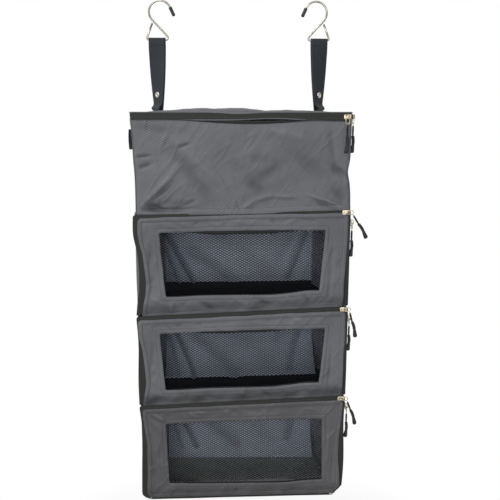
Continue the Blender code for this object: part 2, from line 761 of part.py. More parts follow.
build_hooks()
build_straps()
build_sides()
build_back()
build_floors()
build_pocket_front()
build_lid()
for number, door_name in enumerate(DOORS, 1):
    build_door(number, door_name)
build_zip_sets()
bpy.context.view_layer.update()
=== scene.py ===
"""Looks of the hanging organizer: cloth, nets, zips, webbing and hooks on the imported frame."""
import math

import bmesh
import bpy
from mathutils import Matrix, Vector, noise


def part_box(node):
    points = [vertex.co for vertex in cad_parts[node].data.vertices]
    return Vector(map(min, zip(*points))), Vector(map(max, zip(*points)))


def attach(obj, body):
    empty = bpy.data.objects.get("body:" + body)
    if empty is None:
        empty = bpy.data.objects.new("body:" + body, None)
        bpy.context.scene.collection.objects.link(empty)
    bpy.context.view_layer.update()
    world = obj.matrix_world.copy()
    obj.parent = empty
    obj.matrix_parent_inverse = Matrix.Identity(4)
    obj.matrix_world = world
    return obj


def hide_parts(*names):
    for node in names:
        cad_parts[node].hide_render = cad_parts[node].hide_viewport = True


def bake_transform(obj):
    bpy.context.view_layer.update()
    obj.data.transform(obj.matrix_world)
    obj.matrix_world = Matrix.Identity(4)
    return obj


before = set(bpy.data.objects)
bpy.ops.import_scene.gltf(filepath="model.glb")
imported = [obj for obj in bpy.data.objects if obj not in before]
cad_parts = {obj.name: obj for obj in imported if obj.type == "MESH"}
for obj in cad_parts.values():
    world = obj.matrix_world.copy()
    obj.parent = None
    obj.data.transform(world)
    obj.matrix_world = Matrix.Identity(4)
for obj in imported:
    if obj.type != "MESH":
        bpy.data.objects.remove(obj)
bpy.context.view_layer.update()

# Sizes of the frame, in metres
MM = 0.001
FRONT_WIDTH = 0.297
BACK_WIDTH = 0.242
DEPTH = 0.148
BACK_Y = 0.0125
FRONT_Y = BACK_Y - DEPTH
TAPE_Y = FRONT_Y - 0.0015
PANEL_THICK = 0.0015
FABRIC_HALF = PANEL_THICK / 2
TAPE_THICK = 0.0012
SIDE_SLOPE = (BACK_WIDTH - FRONT_WIDTH) / 2 / DEPTH
SIDE_TURN = math.atan(SIDE_SLOPE)
TAPE_OUT = 0.0015 / math.cos(SIDE_TURN)
BAR_Z = -0.0544
RIM_Z = -0.1629
LID_JOIN_Z = RIM_Z - 0.00455
LID_HINGE_Y = -0.0145
DOOR_HINGE_Y = TAPE_Y - 0.0005
SEAM_Z = [RIM_Z, RIM_Z - 0.133, RIM_Z - 0.274, RIM_Z - 0.408, RIM_Z - 0.558]
SEAM_RISE = [0.0, 0.0055, 0.011, 0.0103, 0.0]
BOTTOM_Z = SEAM_Z[4] - 0.003
ZIP_DROP = 0.00335
DOORS = ("upper", "middle", "lower")

# Gap between neighbouring cloth edges, how far floors and seam stitches lie under their seam line,
# and how far the side panels end short of the back
GAP = 0.0003
FLOOR_DROP = 0.0015
REAR_GAP = 0.0016
FORWARD = Vector((0, -1, 0))

# Cloth planes: middles of the thin sheets that the pieces are cut from
CLOTH = 0.0008
PANEL_Y = FRONT_Y + 0.0005
HEM_LIFT = 0.0017
WOVEN_Y = TAPE_Y + 0.0009
WOVEN = 0.0005
BEAD_LIFT = 0.0007
BEAD_HALF = 0.0012
BEAD_STEP = 0.0008

# Lengths in the finishes: weave, diamonds in it, the pale V over the front, and braid
WEAVE_PITCH = 0.0011
DIAMOND_WIDTH = 0.0061
DIAMOND_HEIGHT = 0.0035
BAND_DROP = 0.295
BAND_LEFT = 0.015
BAND_SLOPE = 1.03
BRAID_PITCH = 0.0013
SCRATCH_DEPTH = 0.00003


def half_width(y):
    """Half the bag's width at a depth: it narrows to the rear."""
    return FRONT_WIDTH / 2 + SIDE_SLOPE * (y - FRONT_Y)


def flank(side):
    """Outward direction of the left side, -1, or the right one, 1."""
    return Vector((side * math.cos(SIDE_TURN), -math.sin(SIDE_TURN), 0))


def seam(level, x):
    """Height of a seam line, 0 at the rim and 4 at the base; it climbs to the right."""
    return SEAM_Z[level] + SEAM_RISE[level] * x / FRONT_WIDTH


def ease(low, high, value):
    """0 below low, 1 above high, smooth between."""
    t = min(1.0, max(0.0, (value - low) / (high - low)))
    return t * t * (3 - 2 * t)


def along(stations, share, column=1):
    """Value of a column on the smooth curve through stations of (share, value, ...)."""
    last = len(stations) - 1
    k = 0
    while k < last - 1 and share > stations[k + 1][0]:
        k += 1
    four = [stations[min(max(k + i, 0), last)] for i in (-1, 0, 1, 2)]
    span = four[2][0] - four[1][0]
    t = min(1.0, max(0.0, (share - four[1][0]) / span))
    before, low, high, after = (s[column] for s in four)
    into = (high - before) * span / max(four[2][0] - four[0][0], 1e-6)
    out = (after - low) * span / max(four[3][0] - four[1][0], 1e-6)
    curve = (2 * t**3 - 3 * t**2 + 1) * low + (t**3 - 2 * t**2 + t) * into
    return curve + (3 * t**2 - 2 * t**3) * high + (t**3 - t**2) * out


def ripple(x, y, z, size, seed=0.0):
    """Smooth unevenness between about -1 and 1, with bumps of that size."""
    return noise.noise(Vector((x / size + seed, y / size - seed, z / size + 2 * seed)))


# Shader wiring
class Wire:
    """A socket of a material's nodes: sums and products on it become Math nodes."""

    def __init__(self, tree, socket=None):
        self.tree = tree
        self.socket = socket

    def node(self, kind, settings=(), sockets=(), out=0):
        made = self.tree.nodes.new(kind)
        for key, value in dict(settings).items():
            if key == "stops":
                ramp = made.color_ramp
                while len(ramp.elements) < len(value):
                    ramp.elements.new(value[len(ramp.elements) - 1][0])
                for element, (place, tone) in zip(ramp.elements, value):
                    element.position = place
                    element.color = (tone, tone, tone, 1)
            else:
                setattr(made, key, value)
        for key, value in dict(sockets).items():
            if isinstance(value, Wire):
                self.tree.links.new(value.socket, made.inputs[key])
            else:
                made.inputs[key].default_value = value
        return Wire(self.tree, made.outputs[out])

    def math(self, operation, *values):
        return self.node("ShaderNodeMath", {"operation": operation}, dict(enumerate(values)))

    def __add__(self, other):
        return self.math("ADD", self, other)

    def __sub__(self, other):
        return self.math("SUBTRACT", self, other)

    def __rsub__(self, other):
        return self.math("SUBTRACT", other, self)

    def __mul__(self, other):
        return self.math("MULTIPLY", self, other)

    __radd__ = __add__
    __rmul__ = __mul__

    def sine(self):
        return self.math("SINE", self)

    def size(self):
        """This value without its sign."""
        return self.math("ABSOLUTE", self)

    def wave(self, length):
        """A sine along this distance that repeats at that length."""
        return (self * (2 * math.pi / length)).sine()

    def ramp(self, *stops):
        return self.node("ShaderNodeValToRGB", {"stops": stops}, {"Fac": self})

    def mix(self, low, high):
        """Colour low where this value is 0, high where it is 1."""
        sockets = {0: self, 6: low, 7: high}
        return self.node("ShaderNodeMix", {"data_type": "RGBA"}, sockets, out=2)

    def part(self, axis):
        """One coordinate of this place."""
        return self.node("ShaderNodeSeparateXYZ", (), {"Vector": self}, out=axis)

    def grain(self, scale, detail=2.0, rough=0.5):
        sockets = {"Vector": self, "Scale": scale, "Detail": detail, "Roughness": rough}
        return self.node("ShaderNodeTexNoise", (), sockets)

    def turned(self, angle):
        """The same place in axes turned about Y."""
        settings = {"rotation_type": "Y_AXIS"}
        return self.node("ShaderNodeVectorRotate", settings, {"Vector": self, "Angle": angle})

    def stretched(self, x, y, z):
        settings = {"operation": "MULTIPLY"}
        return self.node("ShaderNodeVectorMath", settings, {0: self, 1: (x, y, z)})


def colour(red, green, blue):
    return (red, green, blue, 1.0)


def times(tone, share):
    """A colour made darker or lighter."""
    return colour(*(share * part for part in tone[:3]))


def finish(name, **constants):
    """A new material with its shader's fixed sockets set: (material, shader, wire)."""
    made = bpy.data.materials.new(name)
    made.use_nodes = True
    shader = made.node_tree.nodes["Principled BSDF"]
    for key, value in constants.items():
        shader.inputs[key.replace("_", " ")].default_value = value
    return made, shader, Wire(made.node_tree)


def feed(shader, wire, **sockets):
    """Links values that change over the surface into the shader."""
    for key, value in sockets.items():
        wire.tree.links.new(value.socket, shader.inputs[key.replace("_", " ")])


def bump(wire, height, distance, under=None, strength=1.0):
    sockets = {"Height": height, "Distance": distance, "Strength": strength}
    if under is not None:
        sockets["Normal"] = under
    return wire.node("ShaderNodeBump", (), sockets)


def lie_on(wire):
    """The mesh's own mark at a point: its place in the cloth, and how much painted shade or painted highlight
    it gets.
    """
    return wire.node("ShaderNodeAttribute", {"attribute_name": "cloth"}, (), out=1)


def thread_run(wire):
    """Where a point lies in its cloth: along and across, in metres."""
    lie = lie_on(wire)
    return lie.part(0), lie.part(1)


def painted_shade_on(wire):
    """Painted shade at a point: 0 on flat cloth, 1 darkest in a fold, below 0 a painted highlight on a ridge.
    """
    return lie_on(wire).part(2)


def place_on(wire):
    """A point's place on its object, in metres."""
    return wire.node("ShaderNodeTexCoord", (), (), out=3)


def plain_weave(wire):
    """Over and under of a plain weave, from 0 to 1."""
    u, v = thread_run(wire)
    return u.wave(WEAVE_PITCH) * v.wave(WEAVE_PITCH) * 0.5 + 0.5


def woven_cloth(name, dark, light, rough=0.66, crumple=0.0007, crease_highlight=0.10, **constants):
    """Dyed polyester: fine weave with diamonds in it, uneven tone and small crumples, with painted shade in
    its folds and painted highlights on their ridges.

    crumple is how deep the crumples are, in metres, and the crease number how far their ridges are lightened
    in the tone, a painted highlight.
    """
    fixed = {"Sheen_Weight": 0.06, "Sheen_Roughness": 0.45, "Specular_IOR_Level": 0.32, **constants}
    made, shader, wire = finish(name, **fixed)
    here = place_on(wire)
    weave = plain_weave(wire)
    u, v = thread_run(wire)
    over = u * (2 * math.pi / DIAMOND_WIDTH)
    up = v * (2 * math.pi / DIAMOND_HEIGHT)
    diamonds = (over + up).sine() + (over - up).sine()
    band = here.part(2) + BAND_DROP - (here.part(0) + BAND_LEFT).size() * BAND_SLOPE
    blotches = here.grain(11.0, 1.0).ramp((0.44, 0.05), (0.58, 0.7))
    patches = blotches + band.size().ramp((0.008, 0.8), (0.026, 0.0))
    clouded = here.turned(0.6).stretched(0.6, 1.0, 1.3)
    cloud = clouded.grain(13.0, 5.0, 0.62).ramp((0.33, 0.0), (0.67, 1.0))
    rising = here.turned(0.9).stretched(0.42, 1.0, 1.5)
    falling = here.turned(-0.75).stretched(0.5, 1.0, 1.4)
    sharp = (rising.grain(26.0, 1.5) - 0.5).size().ramp((0.0, 1.0), (0.06, 0.0))
    softer = (falling.grain(34.0, 1.5) - 0.5).size().ramp((0.0, 1.0), (0.08, 0.0))
    calm = here.grain(8.0, 1.0).ramp((0.38, 0.0), (0.62, 1.0))
    crumples = sharp * calm * 0.8 + softer * (1 - calm) * 0.6 + falling.grain(24.0, 3.0) * 1.3
    threads = bump(wire, weave, 0.00012, strength=0.7)
    folds = bump(wire, crumples, crumple, threads, 0.8)
    # Lightening along the crumples' sharp ridges, by the crease number, is a painted highlight.
    tone = cloud * 0.58 + weave * 0.08 + diamonds * patches * 0.25 + sharp * calm * crease_highlight + 0.15
    shade = painted_shade_on(wire)
    # Painted shade: the colour is mixed toward a darker one in folds, and toward a paler one on ridges, a
    # painted highlight.
    tone_with_painted_shade = (0 - shade).mix(shade.mix(tone.mix(dark, light), times(dark, 0.4)), times(light, 1.5))
    feed(shader, wire, Base_Color=tone_with_painted_shade, Normal=folds, Roughness=cloud * 0.16 + (rough - 0.08))
    return made


def ribbed_band(name, dark, light, pitch, depth=0.0002, gloss=0.25):
    """Webbing or zip tape: ribs along the band, crossed by fine weft."""
    made, shader, wire = finish(name, Sheen_Weight=gloss / 6, Sheen_Roughness=0.5, Specular_IOR_Level=gloss)
    here = place_on(wire)
    u, v = thread_run(wire)
    ribs = v.wave(pitch) * 0.5 + 0.5
    weft = u.wave(pitch * 0.6) * 0.5 + 0.5
    height = ribs * 0.65 + weft * 0.35
    cloud = here.grain(60.0, 3.0)
    feed(shader, wire, Base_Color=(height * 0.55 + cloud * 0.45).mix(dark, light),
         Normal=bump(wire, height, depth, strength=0.8), Roughness=cloud * 0.2 + 0.62)
    return made


def cast_metal(name, dark, light, rough, cloud=220.0):
    """Plated metal with cloudy wear and fine scratches."""
    made, shader, wire = finish(name, Metallic=1.0)
    here = place_on(wire)
    wear = here.grain(cloud, 3.0, 0.6)
    lines = here.stretched(1.0, 1.0, 9.0).grain(900.0, 2.0)
    feed(shader, wire, Base_Color=wear.ramp((0.35, 0.0), (0.65, 1.0)).mix(dark, light),
         Roughness=wear * 0.25 + lines * 0.1 + (rough - 0.15),
         Normal=bump(wire, lines, SCRATCH_DEPTH, strength=0.5))
    return made


def moulded_rubber(name, dark, light, rough):
    """Soft moulded plastic with a fine grain and rubbed high spots."""
    made, shader, wire = finish(name, Specular_IOR_Level=0.3)
    here = place_on(wire)
    pores = here.grain(1600.0, 2.0)
    rub = here.grain(150.0, 3.0, 0.6)
    feed(shader, wire, Base_Color=rub.mix(dark, light), Roughness=pores * 0.12 + rub * 0.15 + (rough - 0.12),
         Normal=bump(wire, pores, 0.00005, strength=0.6))
    return made


def braided_cord(name, dark, light):
    """Twisted thread or braided cord, with its strands crossing."""
    made, shader, wire = finish(name, Sheen_Weight=0.03, Specular_IOR_Level=0.25)
    u, v = thread_run(wire)
    braid = (u + v).wave(BRAID_PITCH) * (u - v).wave(BRAID_PITCH) * 0.5 + 0.5
    feed(shader, wire, Base_Color=braid.mix(dark, light), Normal=bump(wire, braid, 0.0002),
         Roughness=braid * 0.15 + 0.6)
    return made


# The crease number paints highlights on the crumples' ridges, most strongly on the lower door's cloth.
GREY = woven_cloth("grey_polyester", colour(0.080, 0.082, 0.090), colour(0.147, 0.150, 0.161),
                   crumple=0.0012, crease_highlight=0.06)
GREY_LOW = woven_cloth("grey_polyester_foot_door", colour(0.053, 0.0515, 0.0555),
                       colour(0.092, 0.0895, 0.0955), rough=0.50, crumple=0.0015, crease_highlight=0.5)
LINING = woven_cloth("blue_grey_lining", colour(0.60, 0.675, 0.815), colour(0.75, 0.825, 0.96),
                     crumple=0.0005)
SIDE_GREY = woven_cloth("grey_side_polyester", colour(0.088, 0.090, 0.098), colour(0.146, 0.149, 0.159))
SIDE_LINING = woven_cloth("grey_side_lining", colour(0.45, 0.45, 0.50), colour(0.54, 0.54, 0.60),
                          crumple=0.0004)
FLOOR_CLOTH = woven_cloth("black_floor_cloth", colour(0.0035, 0.0036, 0.0038), colour(0.006, 0.006, 0.0062),
                          rough=0.95, Sheen_Weight=0.0, Specular_IOR_Level=0.08)
BASE_CLOTH = woven_cloth("grey_base_cloth", colour(0.49, 0.515, 0.492), colour(0.60, 0.635, 0.607),
                         rough=0.9, Sheen_Weight=0.0, Specular_IOR_Level=0.15)
TAPE_CLOTH = ribbed_band("black_zip_tape", colour(0.012, 0.0135, 0.012), colour(0.030, 0.032, 0.029), 0.0016)
BINDING = ribbed_band("black_binding", colour(0.006, 0.0065, 0.0065), colour(0.014, 0.015, 0.015), 0.0012)
WEBBING = ribbed_band("black_webbing", colour(0.012, 0.016, 0.019), colour(0.030, 0.036, 0.043), 0.0021,
                      depth=0.0003)
NET_LOW = ribbed_band("black_foot_net_yarn", colour(0.013, 0.0135, 0.014), colour(0.021, 0.022, 0.0225),
                      0.0008, gloss=0.06)
NET = ribbed_band("black_net_yarn", colour(0.004, 0.0043, 0.006), colour(0.009, 0.0095, 0.012),
                  0.0008, gloss=0.06)
COIL = moulded_rubber("black_nylon_coil", colour(0.010, 0.011, 0.010), colour(0.024, 0.026, 0.023), 0.5)
THREAD = braided_cord("grey_thread", colour(0.022, 0.0225, 0.025), colour(0.048, 0.049, 0.053))
BLACK_THREAD = braided_cord("black_thread", colour(0.010, 0.011, 0.012), colour(0.028, 0.030, 0.033))
CHROME = cast_metal("warm_chrome_wire", colour(0.17, 0.153, 0.130), colour(0.40, 0.365, 0.315), 0.30, 80.0)
SNAP_METAL = cast_metal("nickel_snap", colour(0.30, 0.29, 0.26), colour(0.66, 0.64, 0.60), 0.32)
ZIP_METAL = cast_metal("champagne_zip_metal", colour(0.20, 0.165, 0.11), colour(0.66, 0.59, 0.46), 0.42)
SLEEVE = moulded_rubber("black_hook_sleeve", colour(0.014, 0.016, 0.017), colour(0.028, 0.031, 0.032), 0.5)
GRIP = moulded_rubber("black_pull_grip", colour(0.007, 0.008, 0.008), colour(0.016, 0.018, 0.018), 0.6)
CORD = braided_cord("black_pull_cord", colour(0.008, 0.009, 0.010), colour(0.022, 0.025, 0.026))


# Mesh making
def grid(rows, columns, place):
    """Rails of points: place gives each one from its share across and its share down."""
    return [[place(j / columns, i / rows) for j in range(columns + 1)] for i in range(rows + 1)]


def sheet_mesh(name, rails, spread=None, closed=False):
    """Quads between neighbouring rails of points; spread gives each point's place in the cloth."""
    count = len(rails[0])
    mesh = bpy.data.meshes.new(name)
    points = [point for rail in rails for point in rail]
    faces = []
    for i in range(len(rails) - 1):
        for j in range(count if closed else count - 1):
            k = (j + 1) % count
            faces.append((i * count + j, i * count + k, (i + 1) * count + k, (i + 1) * count + j))
    mesh.from_pydata(points, [], faces)
    lie_in_cloth(mesh, spread or (lambda p: (p.x, p.z)))
    mesh.shade_smooth()
    return mesh


def lie_in_cloth(mesh, spread):
    """Marks each point's place in its cloth, which spread gives from where it is."""
    lie = mesh.attributes.get("cloth") or mesh.attributes.new("cloth", "FLOAT_VECTOR", "POINT")
    for vertex, item in zip(mesh.vertices, lie.data):
        u, v = spread(vertex.co)
        item.vector = (u, v, 0)


def paint_fold_shade(mesh, shade):
    """Marks how much painted shade each point gets: up to 1 darkest, below 0 a painted highlight."""
    for vertex, item in zip(mesh.vertices, mesh.attributes["cloth"].data):
        u, v, _ = item.vector
        item.vector = (u, v, shade(vertex.co))


def band_mesh(name, rails):
    """A sheet with each point's length along and across the rails as its place in the cloth."""
    mesh = sheet_mesh(name, rails)
    lie = mesh.attributes["cloth"]
    across = 0.0
    index = 0
    for i, rail in enumerate(rails):
        if i:
            across += (rail[0] - rails[i - 1][0]).length
        run = 0.0
        for j, point in enumerate(rail):
            if j:
                run += (point - rail[j - 1]).length
            lie.data[index].vector = (run, across, 0)
            index += 1
    return mesh


def piece(name, mesh, material, body, slot, *nodes, thick=0.0):
    """An object of that mesh which rides on a body and stands for those nodes."""
    made = bpy.data.objects.new(name, mesh)
    bpy.context.scene.collection.objects.link(made)
    if not mesh.materials:
        mesh.materials.append(material)
    if thick:
        layer = made.modifiers.new("cloth thickness", "SOLIDIFY")
        layer.thickness = thick
        layer.offset = 0
    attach(made, body)
    if nodes:
        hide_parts(*nodes)
    return made


def joined(name, *meshes):
    """One mesh of several."""
    work = bmesh.new()
    for mesh in meshes:
        work.from_mesh(mesh)
    made = bpy.data.meshes.new(name)
    work.to_mesh(made)
    work.free()
    return made


def tube(name, points, radius, sides=10, closed=False):
    """A round wire or cord along points; radius is a number or one for each point."""
    count = len(points)
    radii = radius if isinstance(radius, list) else [radius] * count
    rails = []
    side = None
    for i, point in enumerate(points):
        before = points[i - 1] if i or closed else point
        after = points[(i + 1) % count] if i < count - 1 or closed else point
        line = (after - before).normalized()
        if side is None:
            side = line.orthogonal().normalized()
        side = (side - line * side.dot(line)).normalized()
        other = line.cross(side)
        ring = []
        for k in range(sides):
            angle = 2 * math.pi * k / sides
            ring.append(point + (side * math.cos(angle) + other * math.sin(angle)) * radii[i])
        rails.append(ring)
    if closed:
        rails.append(rails[0])
    mesh = sheet_mesh(name, rails, closed=True)
    run = 0.0
    lie = mesh.attributes["cloth"]
    for i in range(len(rails)):
        if i:
            run += (points[i % count] - points[i - 1]).length
        for k in range(sides):
            lie.data[i * sides + k].vector = (run, 2 * math.pi * radii[i % count] * k / sides, 0)
    work = bmesh.new()
    work.from_mesh(mesh)
    if closed:
        bmesh.ops.remove_doubles(work, verts=work.verts, dist=1e-6)
    else:
        bmesh.ops.holes_fill(work, edges=work.edges, sides=sides)
    bmesh.ops.recalc_face_normals(work, faces=work.faces)
    work.to_mesh(mesh)
    work.free()
    mesh.shade_smooth()
    return mesh


def piping(name, line, radius, material, body, slot):
    """A round edging along a line."""
    piece(name, tube(name, line, radius, 8), material, body, slot)


SHARP_TURNED = math.radians(50)
SHARP_MOULDED = math.radians(45)


def lathe(name, profile, steps=24):
    """A turned mesh about Z from (radius, height) points."""
    points = [Vector((r, 0, z)) for r, z in profile]
    work = bmesh.new()
    verts = [work.verts.new(p) for p in points]
    edges = [work.edges.new(pair) for pair in zip(verts, verts[1:])]
    bmesh.ops.spin(work, geom=verts + edges, axis=(0, 0, 1), cent=(0, 0, 0),
                   angle=2 * math.pi, steps=steps, use_duplicate=False)
    bmesh.ops.remove_doubles(work, verts=work.verts, dist=1e-6)
    bmesh.ops.recalc_face_normals(work, faces=work.faces)
    mesh = bpy.data.meshes.new(name)
    work.to_mesh(mesh)
    work.free()
    mesh.shade_smooth()
    mesh.set_sharp_from_angle(angle=SHARP_TURNED)
    lie_in_cloth(mesh, lambda p: (p.z, math.atan2(p.y, p.x) * Vector((p.x, p.y)).length))
    return mesh


def axes(origin, right, up):
    """Local X and Y to world, with Z on the normal."""
    normal = right.cross(up).normalized()
    turn = Matrix((right.normalized(), up.normalized(), normal)).transposed()
    return Matrix.Translation(origin) @ turn.to_4x4()


def moved(mesh, matrix):
    """A copy of a mesh at another place."""
    copy = mesh.copy()
    copy.transform(matrix)
    return copy


def resampled(points, step, closed=False):
    """Points at an even step along a line."""
    line = points + [points[0]] if closed else points
    lengths = [(b - a).length for a, b in zip(line, line[1:])]
    total = sum(lengths)
    count = max(2, round(total / step))
    made = []
    k = 0
    passed = 0.0
    for i in range(count + (0 if closed else 1)):
        at = min(total * i / count, total - 1e-9)
        while passed + lengths[k] < at:
            passed += lengths[k]
            k += 1
        made.append(line[k].lerp(line[k + 1], (at - passed) / max(lengths[k], 1e-9)))
    return made


# Stitches: their length, the gap between two, half the thread's width,
# how deep their ends go into the cloth and how high their middles lie on it
STITCH = 0.0026
STITCH_GAP = 0.0008
STITCH_HALF = 0.00028
STITCH_DIP = 0.0001
STITCH_LIFT = 0.00008


def stitch_row(name, path, out, body, slot, material=THREAD, closed=False):
    """Lock stitches on a seam line; out is the cloth's outward side, fixed or by point."""
    even = resampled(path, STITCH + STITCH_GAP, closed)
    points = []
    faces = []
    for a, b in zip(even, even[1:] + even[:1] if closed else even[1:]):
        end = a.lerp(b, STITCH / (STITCH + STITCH_GAP))
        normal = out(a) if callable(out) else out
        line = (end - a).normalized()
        side = line.cross(normal).normalized()
        base = len(points)
        points += [a - normal * STITCH_DIP, end - normal * STITCH_DIP]
        for share in (0.25, 0.75):
            middle = a.lerp(end, share) + normal * STITCH_LIFT
            points += [middle + way * STITCH_HALF for way in (side, normal, -side)]
        faces += [(base, base + 2, base + 3), (base, base + 3, base + 4)]
        faces += [(base + 2, base + 5, base + 6, base + 3), (base + 3, base + 6, base + 7, base + 4)]
        faces += [(base + 1, base + 6, base + 5), (base + 1, base + 7, base + 6)]
    mesh = bpy.data.meshes.new(name)
    mesh.from_pydata(points, [], faces)
    lie_in_cloth(mesh, lambda p: (p.x + p.y, p.z))
    mesh.shade_smooth()
    piece(name, mesh, material, body, slot)


# Outlines on the front: each is closed and keeps the same number of points
SIDE_STEPS = 30
EDGE_STEPS = 84
CORNER_STEPS = 6


def outline(left, right, top, foot, corners):
    """A closed line from its lower left end, up and round by the top.

    left and right give x at a share of the height from the top, top and foot give z at x,
    and corners are (radius, roundness) from the lower left on.
    """
    def side(x_at, share):
        x = x_at(share)
        return Vector((x, 0, top(x) + (foot(x) - top(x)) * share))

    def edge(z_at, share, t):
        near = left(share) + radii[0 if share else 1]
        far = right(share) - radii[3 if share else 2]
        x = near + (far - near) * t
        return Vector((x, 0, z_at(x)))

    radii = [radius for radius, _ in corners]
    height = top(0) - foot(0)
    low_left, top_left, top_right, low_right = (r / height for r in radii)
    steps = [i / SIDE_STEPS for i in range(SIDE_STEPS + 1)]
    shares = [i / EDGE_STEPS for i in range(EDGE_STEPS + 1)]
    runs = [
        [side(left, 1 - low_left - (1 - low_left - top_left) * t) for t in steps],
        [edge(top, 0, t) for t in shares],
        [side(right, top_right + (1 - top_right - low_right) * t) for t in steps],
        [edge(foot, 1, 1 - t) for t in shares],
    ]
    knees = [side(left, 1), side(left, 0), side(right, 0), side(right, 1)]
    points = []
    for k, run in enumerate(runs):
        nxt = (k + 1) % 4
        after = runs[nxt][0]
        control = ((run[-1] + after) / 2).lerp(knees[nxt], corners[nxt][1])
        points += run
        for i in range(1, CORNER_STEPS):
            t = i / CORNER_STEPS
            points.append(run[-1].lerp(control, t).lerp(control.lerp(after, t), t))
    return points


def over_top(points, feet):
    """The part of a closed outline over its sides and top, with its foot corners if feet."""
    count = 2 * (SIDE_STEPS + 1) + EDGE_STEPS + 1 + 2 * (CORNER_STEPS - 1)
    if not feet:
        return points[:count]
    return points[1 - CORNER_STEPS:] + points[:count + CORNER_STEPS - 1]


def flat_area(points):
    """Area inside a closed outline on the front."""
    total = 0.0
    for a, b in zip(points, points[1:] + points[:1]):
        total += a.x * b.z - b.x * a.z
    return abs(total) / 2


# How far zip and door are drawn in from the bag's front corner, in millimetres:
# share of the compartment's height from its top, zip tape's edge, door's edge
DRAW = {
    (-1, 1): [(0, 1.5, 7.4), (0.19, 1.2, 8.0), (0.38, 6.0, 13.4), (0.58, 7.6, 16.3),
              (0.75, 6.6, 16.6), (0.87, 4.0, 13.2), (1, 2.0, 10.5)],
    (-1, 2): [(0, 1.6, 3.8), (0.2, 3.2, 5.0), (0.36, 3.5, 8.8), (0.59, 2.3, 12.3),
              (0.75, 1.7, 12.8), (1, 2.1, 7.2)],
    (-1, 3): [(0, 1.6, 5.6), (0.2, 4.4, 8.4), (0.42, 4.1, 11.5), (0.69, 2.7, 11.2), (1, 1.4, 10.2)],
    (1, 1): [(0, 0.2, 3.2), (0.15, 0.2, 3.4), (0.34, 0.2, 4.4), (0.57, 0.2, 6.2), (0.82, 0.3, 7.9),
             (1, 0.4, 8.4)],
    (1, 2): [(0, 0.2, 3.4), (0.28, 0.2, 3.6), (0.5, 0.2, 4.6), (0.73, 0.2, 5.6), (1, 0.5, 6.2)],
    (1, 3): [(0, 0.6, 3.6), (0.26, 1.8, 6.2), (0.42, 1.2, 8.6), (0.61, 0.4, 8.7), (0.77, 0.8, 7.2),
             (1, 3.0, 6.5)],
}
CORNER_X = FRONT_WIDTH / 2 + TAPE_OUT + GAP

# Share of the pocket's height, and how far its left and right corners are drawn in, in millimetres
POCKET_DRAW = [(0, 0.0, 0.2), (0.16, 1.8, 0.3), (0.41, 2.8, 0.9), (0.58, 4.0, 3.6), (0.72, 4.2, 0.6),
               (0.85, 4.1, -0.6), (1, 3.9, -0.8)]


def tape_draw(side, level, share):
    """How far the zip tape's edge is drawn in."""
    return along(DRAW[side, level], share, 1) * MM


def door_draw(side, level, share):
    """How far the door's edge is drawn in."""
    return along(DRAW[side, level], share, 2) * MM


def zip_draw(side, level, share):
    """The coil runs between the tape's edge and the door's."""
    near = tape_draw(side, level, share)
    return near + max(ZIP_DROP - GAP, 0.42 * (door_draw(side, level, share) - near))


def corner_draw(side, z):
    """How far the bag's front corner is drawn in at a height."""
    if z > seam(1, side * CORNER_X):
        return along(POCKET_DRAW, (RIM_Z - z) / (RIM_Z - SEAM_Z[1]), 1 if side < 0 else 2) * MM
    for level in (1, 2, 3):
        low = seam(level + 1, side * CORNER_X)
        if z >= low or level == 3:
            high = seam(level, side * CORNER_X)
            return tape_draw(side, level, min(1.0, (high - z) / (high - low)))


# How far below its seam each door's cloth starts, in millimetres by x in millimetres
DOOR_HEAD = {
    1: [(-150, 5.6), (-110, 4.6), (-60, 4.3), (-20, 3.7), (40, 3.7), (90, 4.4), (150, 4.8)],
    2: [(-150, 5.8), (-60, 6.6), (0, 6.6), (60, 6.2), (150, 6.8)],
    3: [(-150, 5.8), (-80, 6.0), (0, 6.2), (90, 6.6), (150, 7.2)],
}
# How far the pocket's hem hangs over the zip under it, in millimetres by x in millimetres
POCKET_HANG = [(-150, 0.3), (-125, 0.2), (-80, 1.4), (-30, 2.3), (10, 2.6), (40, 2.4), (60, 0.9),
               (110, 0.8), (150, 0.6)]
# Lower left and right corner of each door: radius in millimetres and roundness
FOOT_CORNERS = {1: ((1.5, 1.0), (1.5, 1.0)), 2: ((1.5, 1.0), (1.5, 1.0)), 3: ((10.0, 1.0), (12.0, 0.12))}


def door_head(level, x):
    """How far below its seam a door's cloth starts."""
    return along(DOOR_HEAD[level], x / MM) * MM


def door_line(level, inset, head_at, draw, corner):
    """Outline of a door's cloth or zip, inset all round."""
    low_left, low_right = FOOT_CORNERS[level]
    return outline(
        lambda h: -CORNER_X + draw(-1, level, h) + inset,
        lambda h: CORNER_X - draw(1, level, h) - inset,
        lambda x: seam(level, x) - head_at(x) - inset,
        lambda x: seam(level + 1, x) + GAP + inset * (0.6 if level < 3 else 1.0),
        ((max(low_left[0] * MM - inset, 0.0006), low_left[1]), (corner, 1.0), (corner, 1.0),
         (max(low_right[0] * MM - inset, 0.0006), low_right[1])),
    )


# Windows: x and z of the upper left, upper right, lower right and lower left corners, in millimetres
WINDOWS = {
    1: ((-113.8, -323.8), (116.0, -321.5), (108.4, -406.9), (-106.5, -414.5)),
    2: ((-116.6, -468.0), (118.4, -463.4), (110.6, -545.2), (-109.9, -553.4)),
    3: ((-111.1, -604.9), (116.7, -600.9), (118.0, -697.4), (-108.2, -697.1)),
}
# How far the middle of each window's upper edge bows up, and its binding hangs down there
WINDOW_BOW = {1: 0.0014, 2: 0.0010, 3: 0.0004}
BINDING_DIP = {1: 0.0052, 2: 0.0036, 3: 0.0}
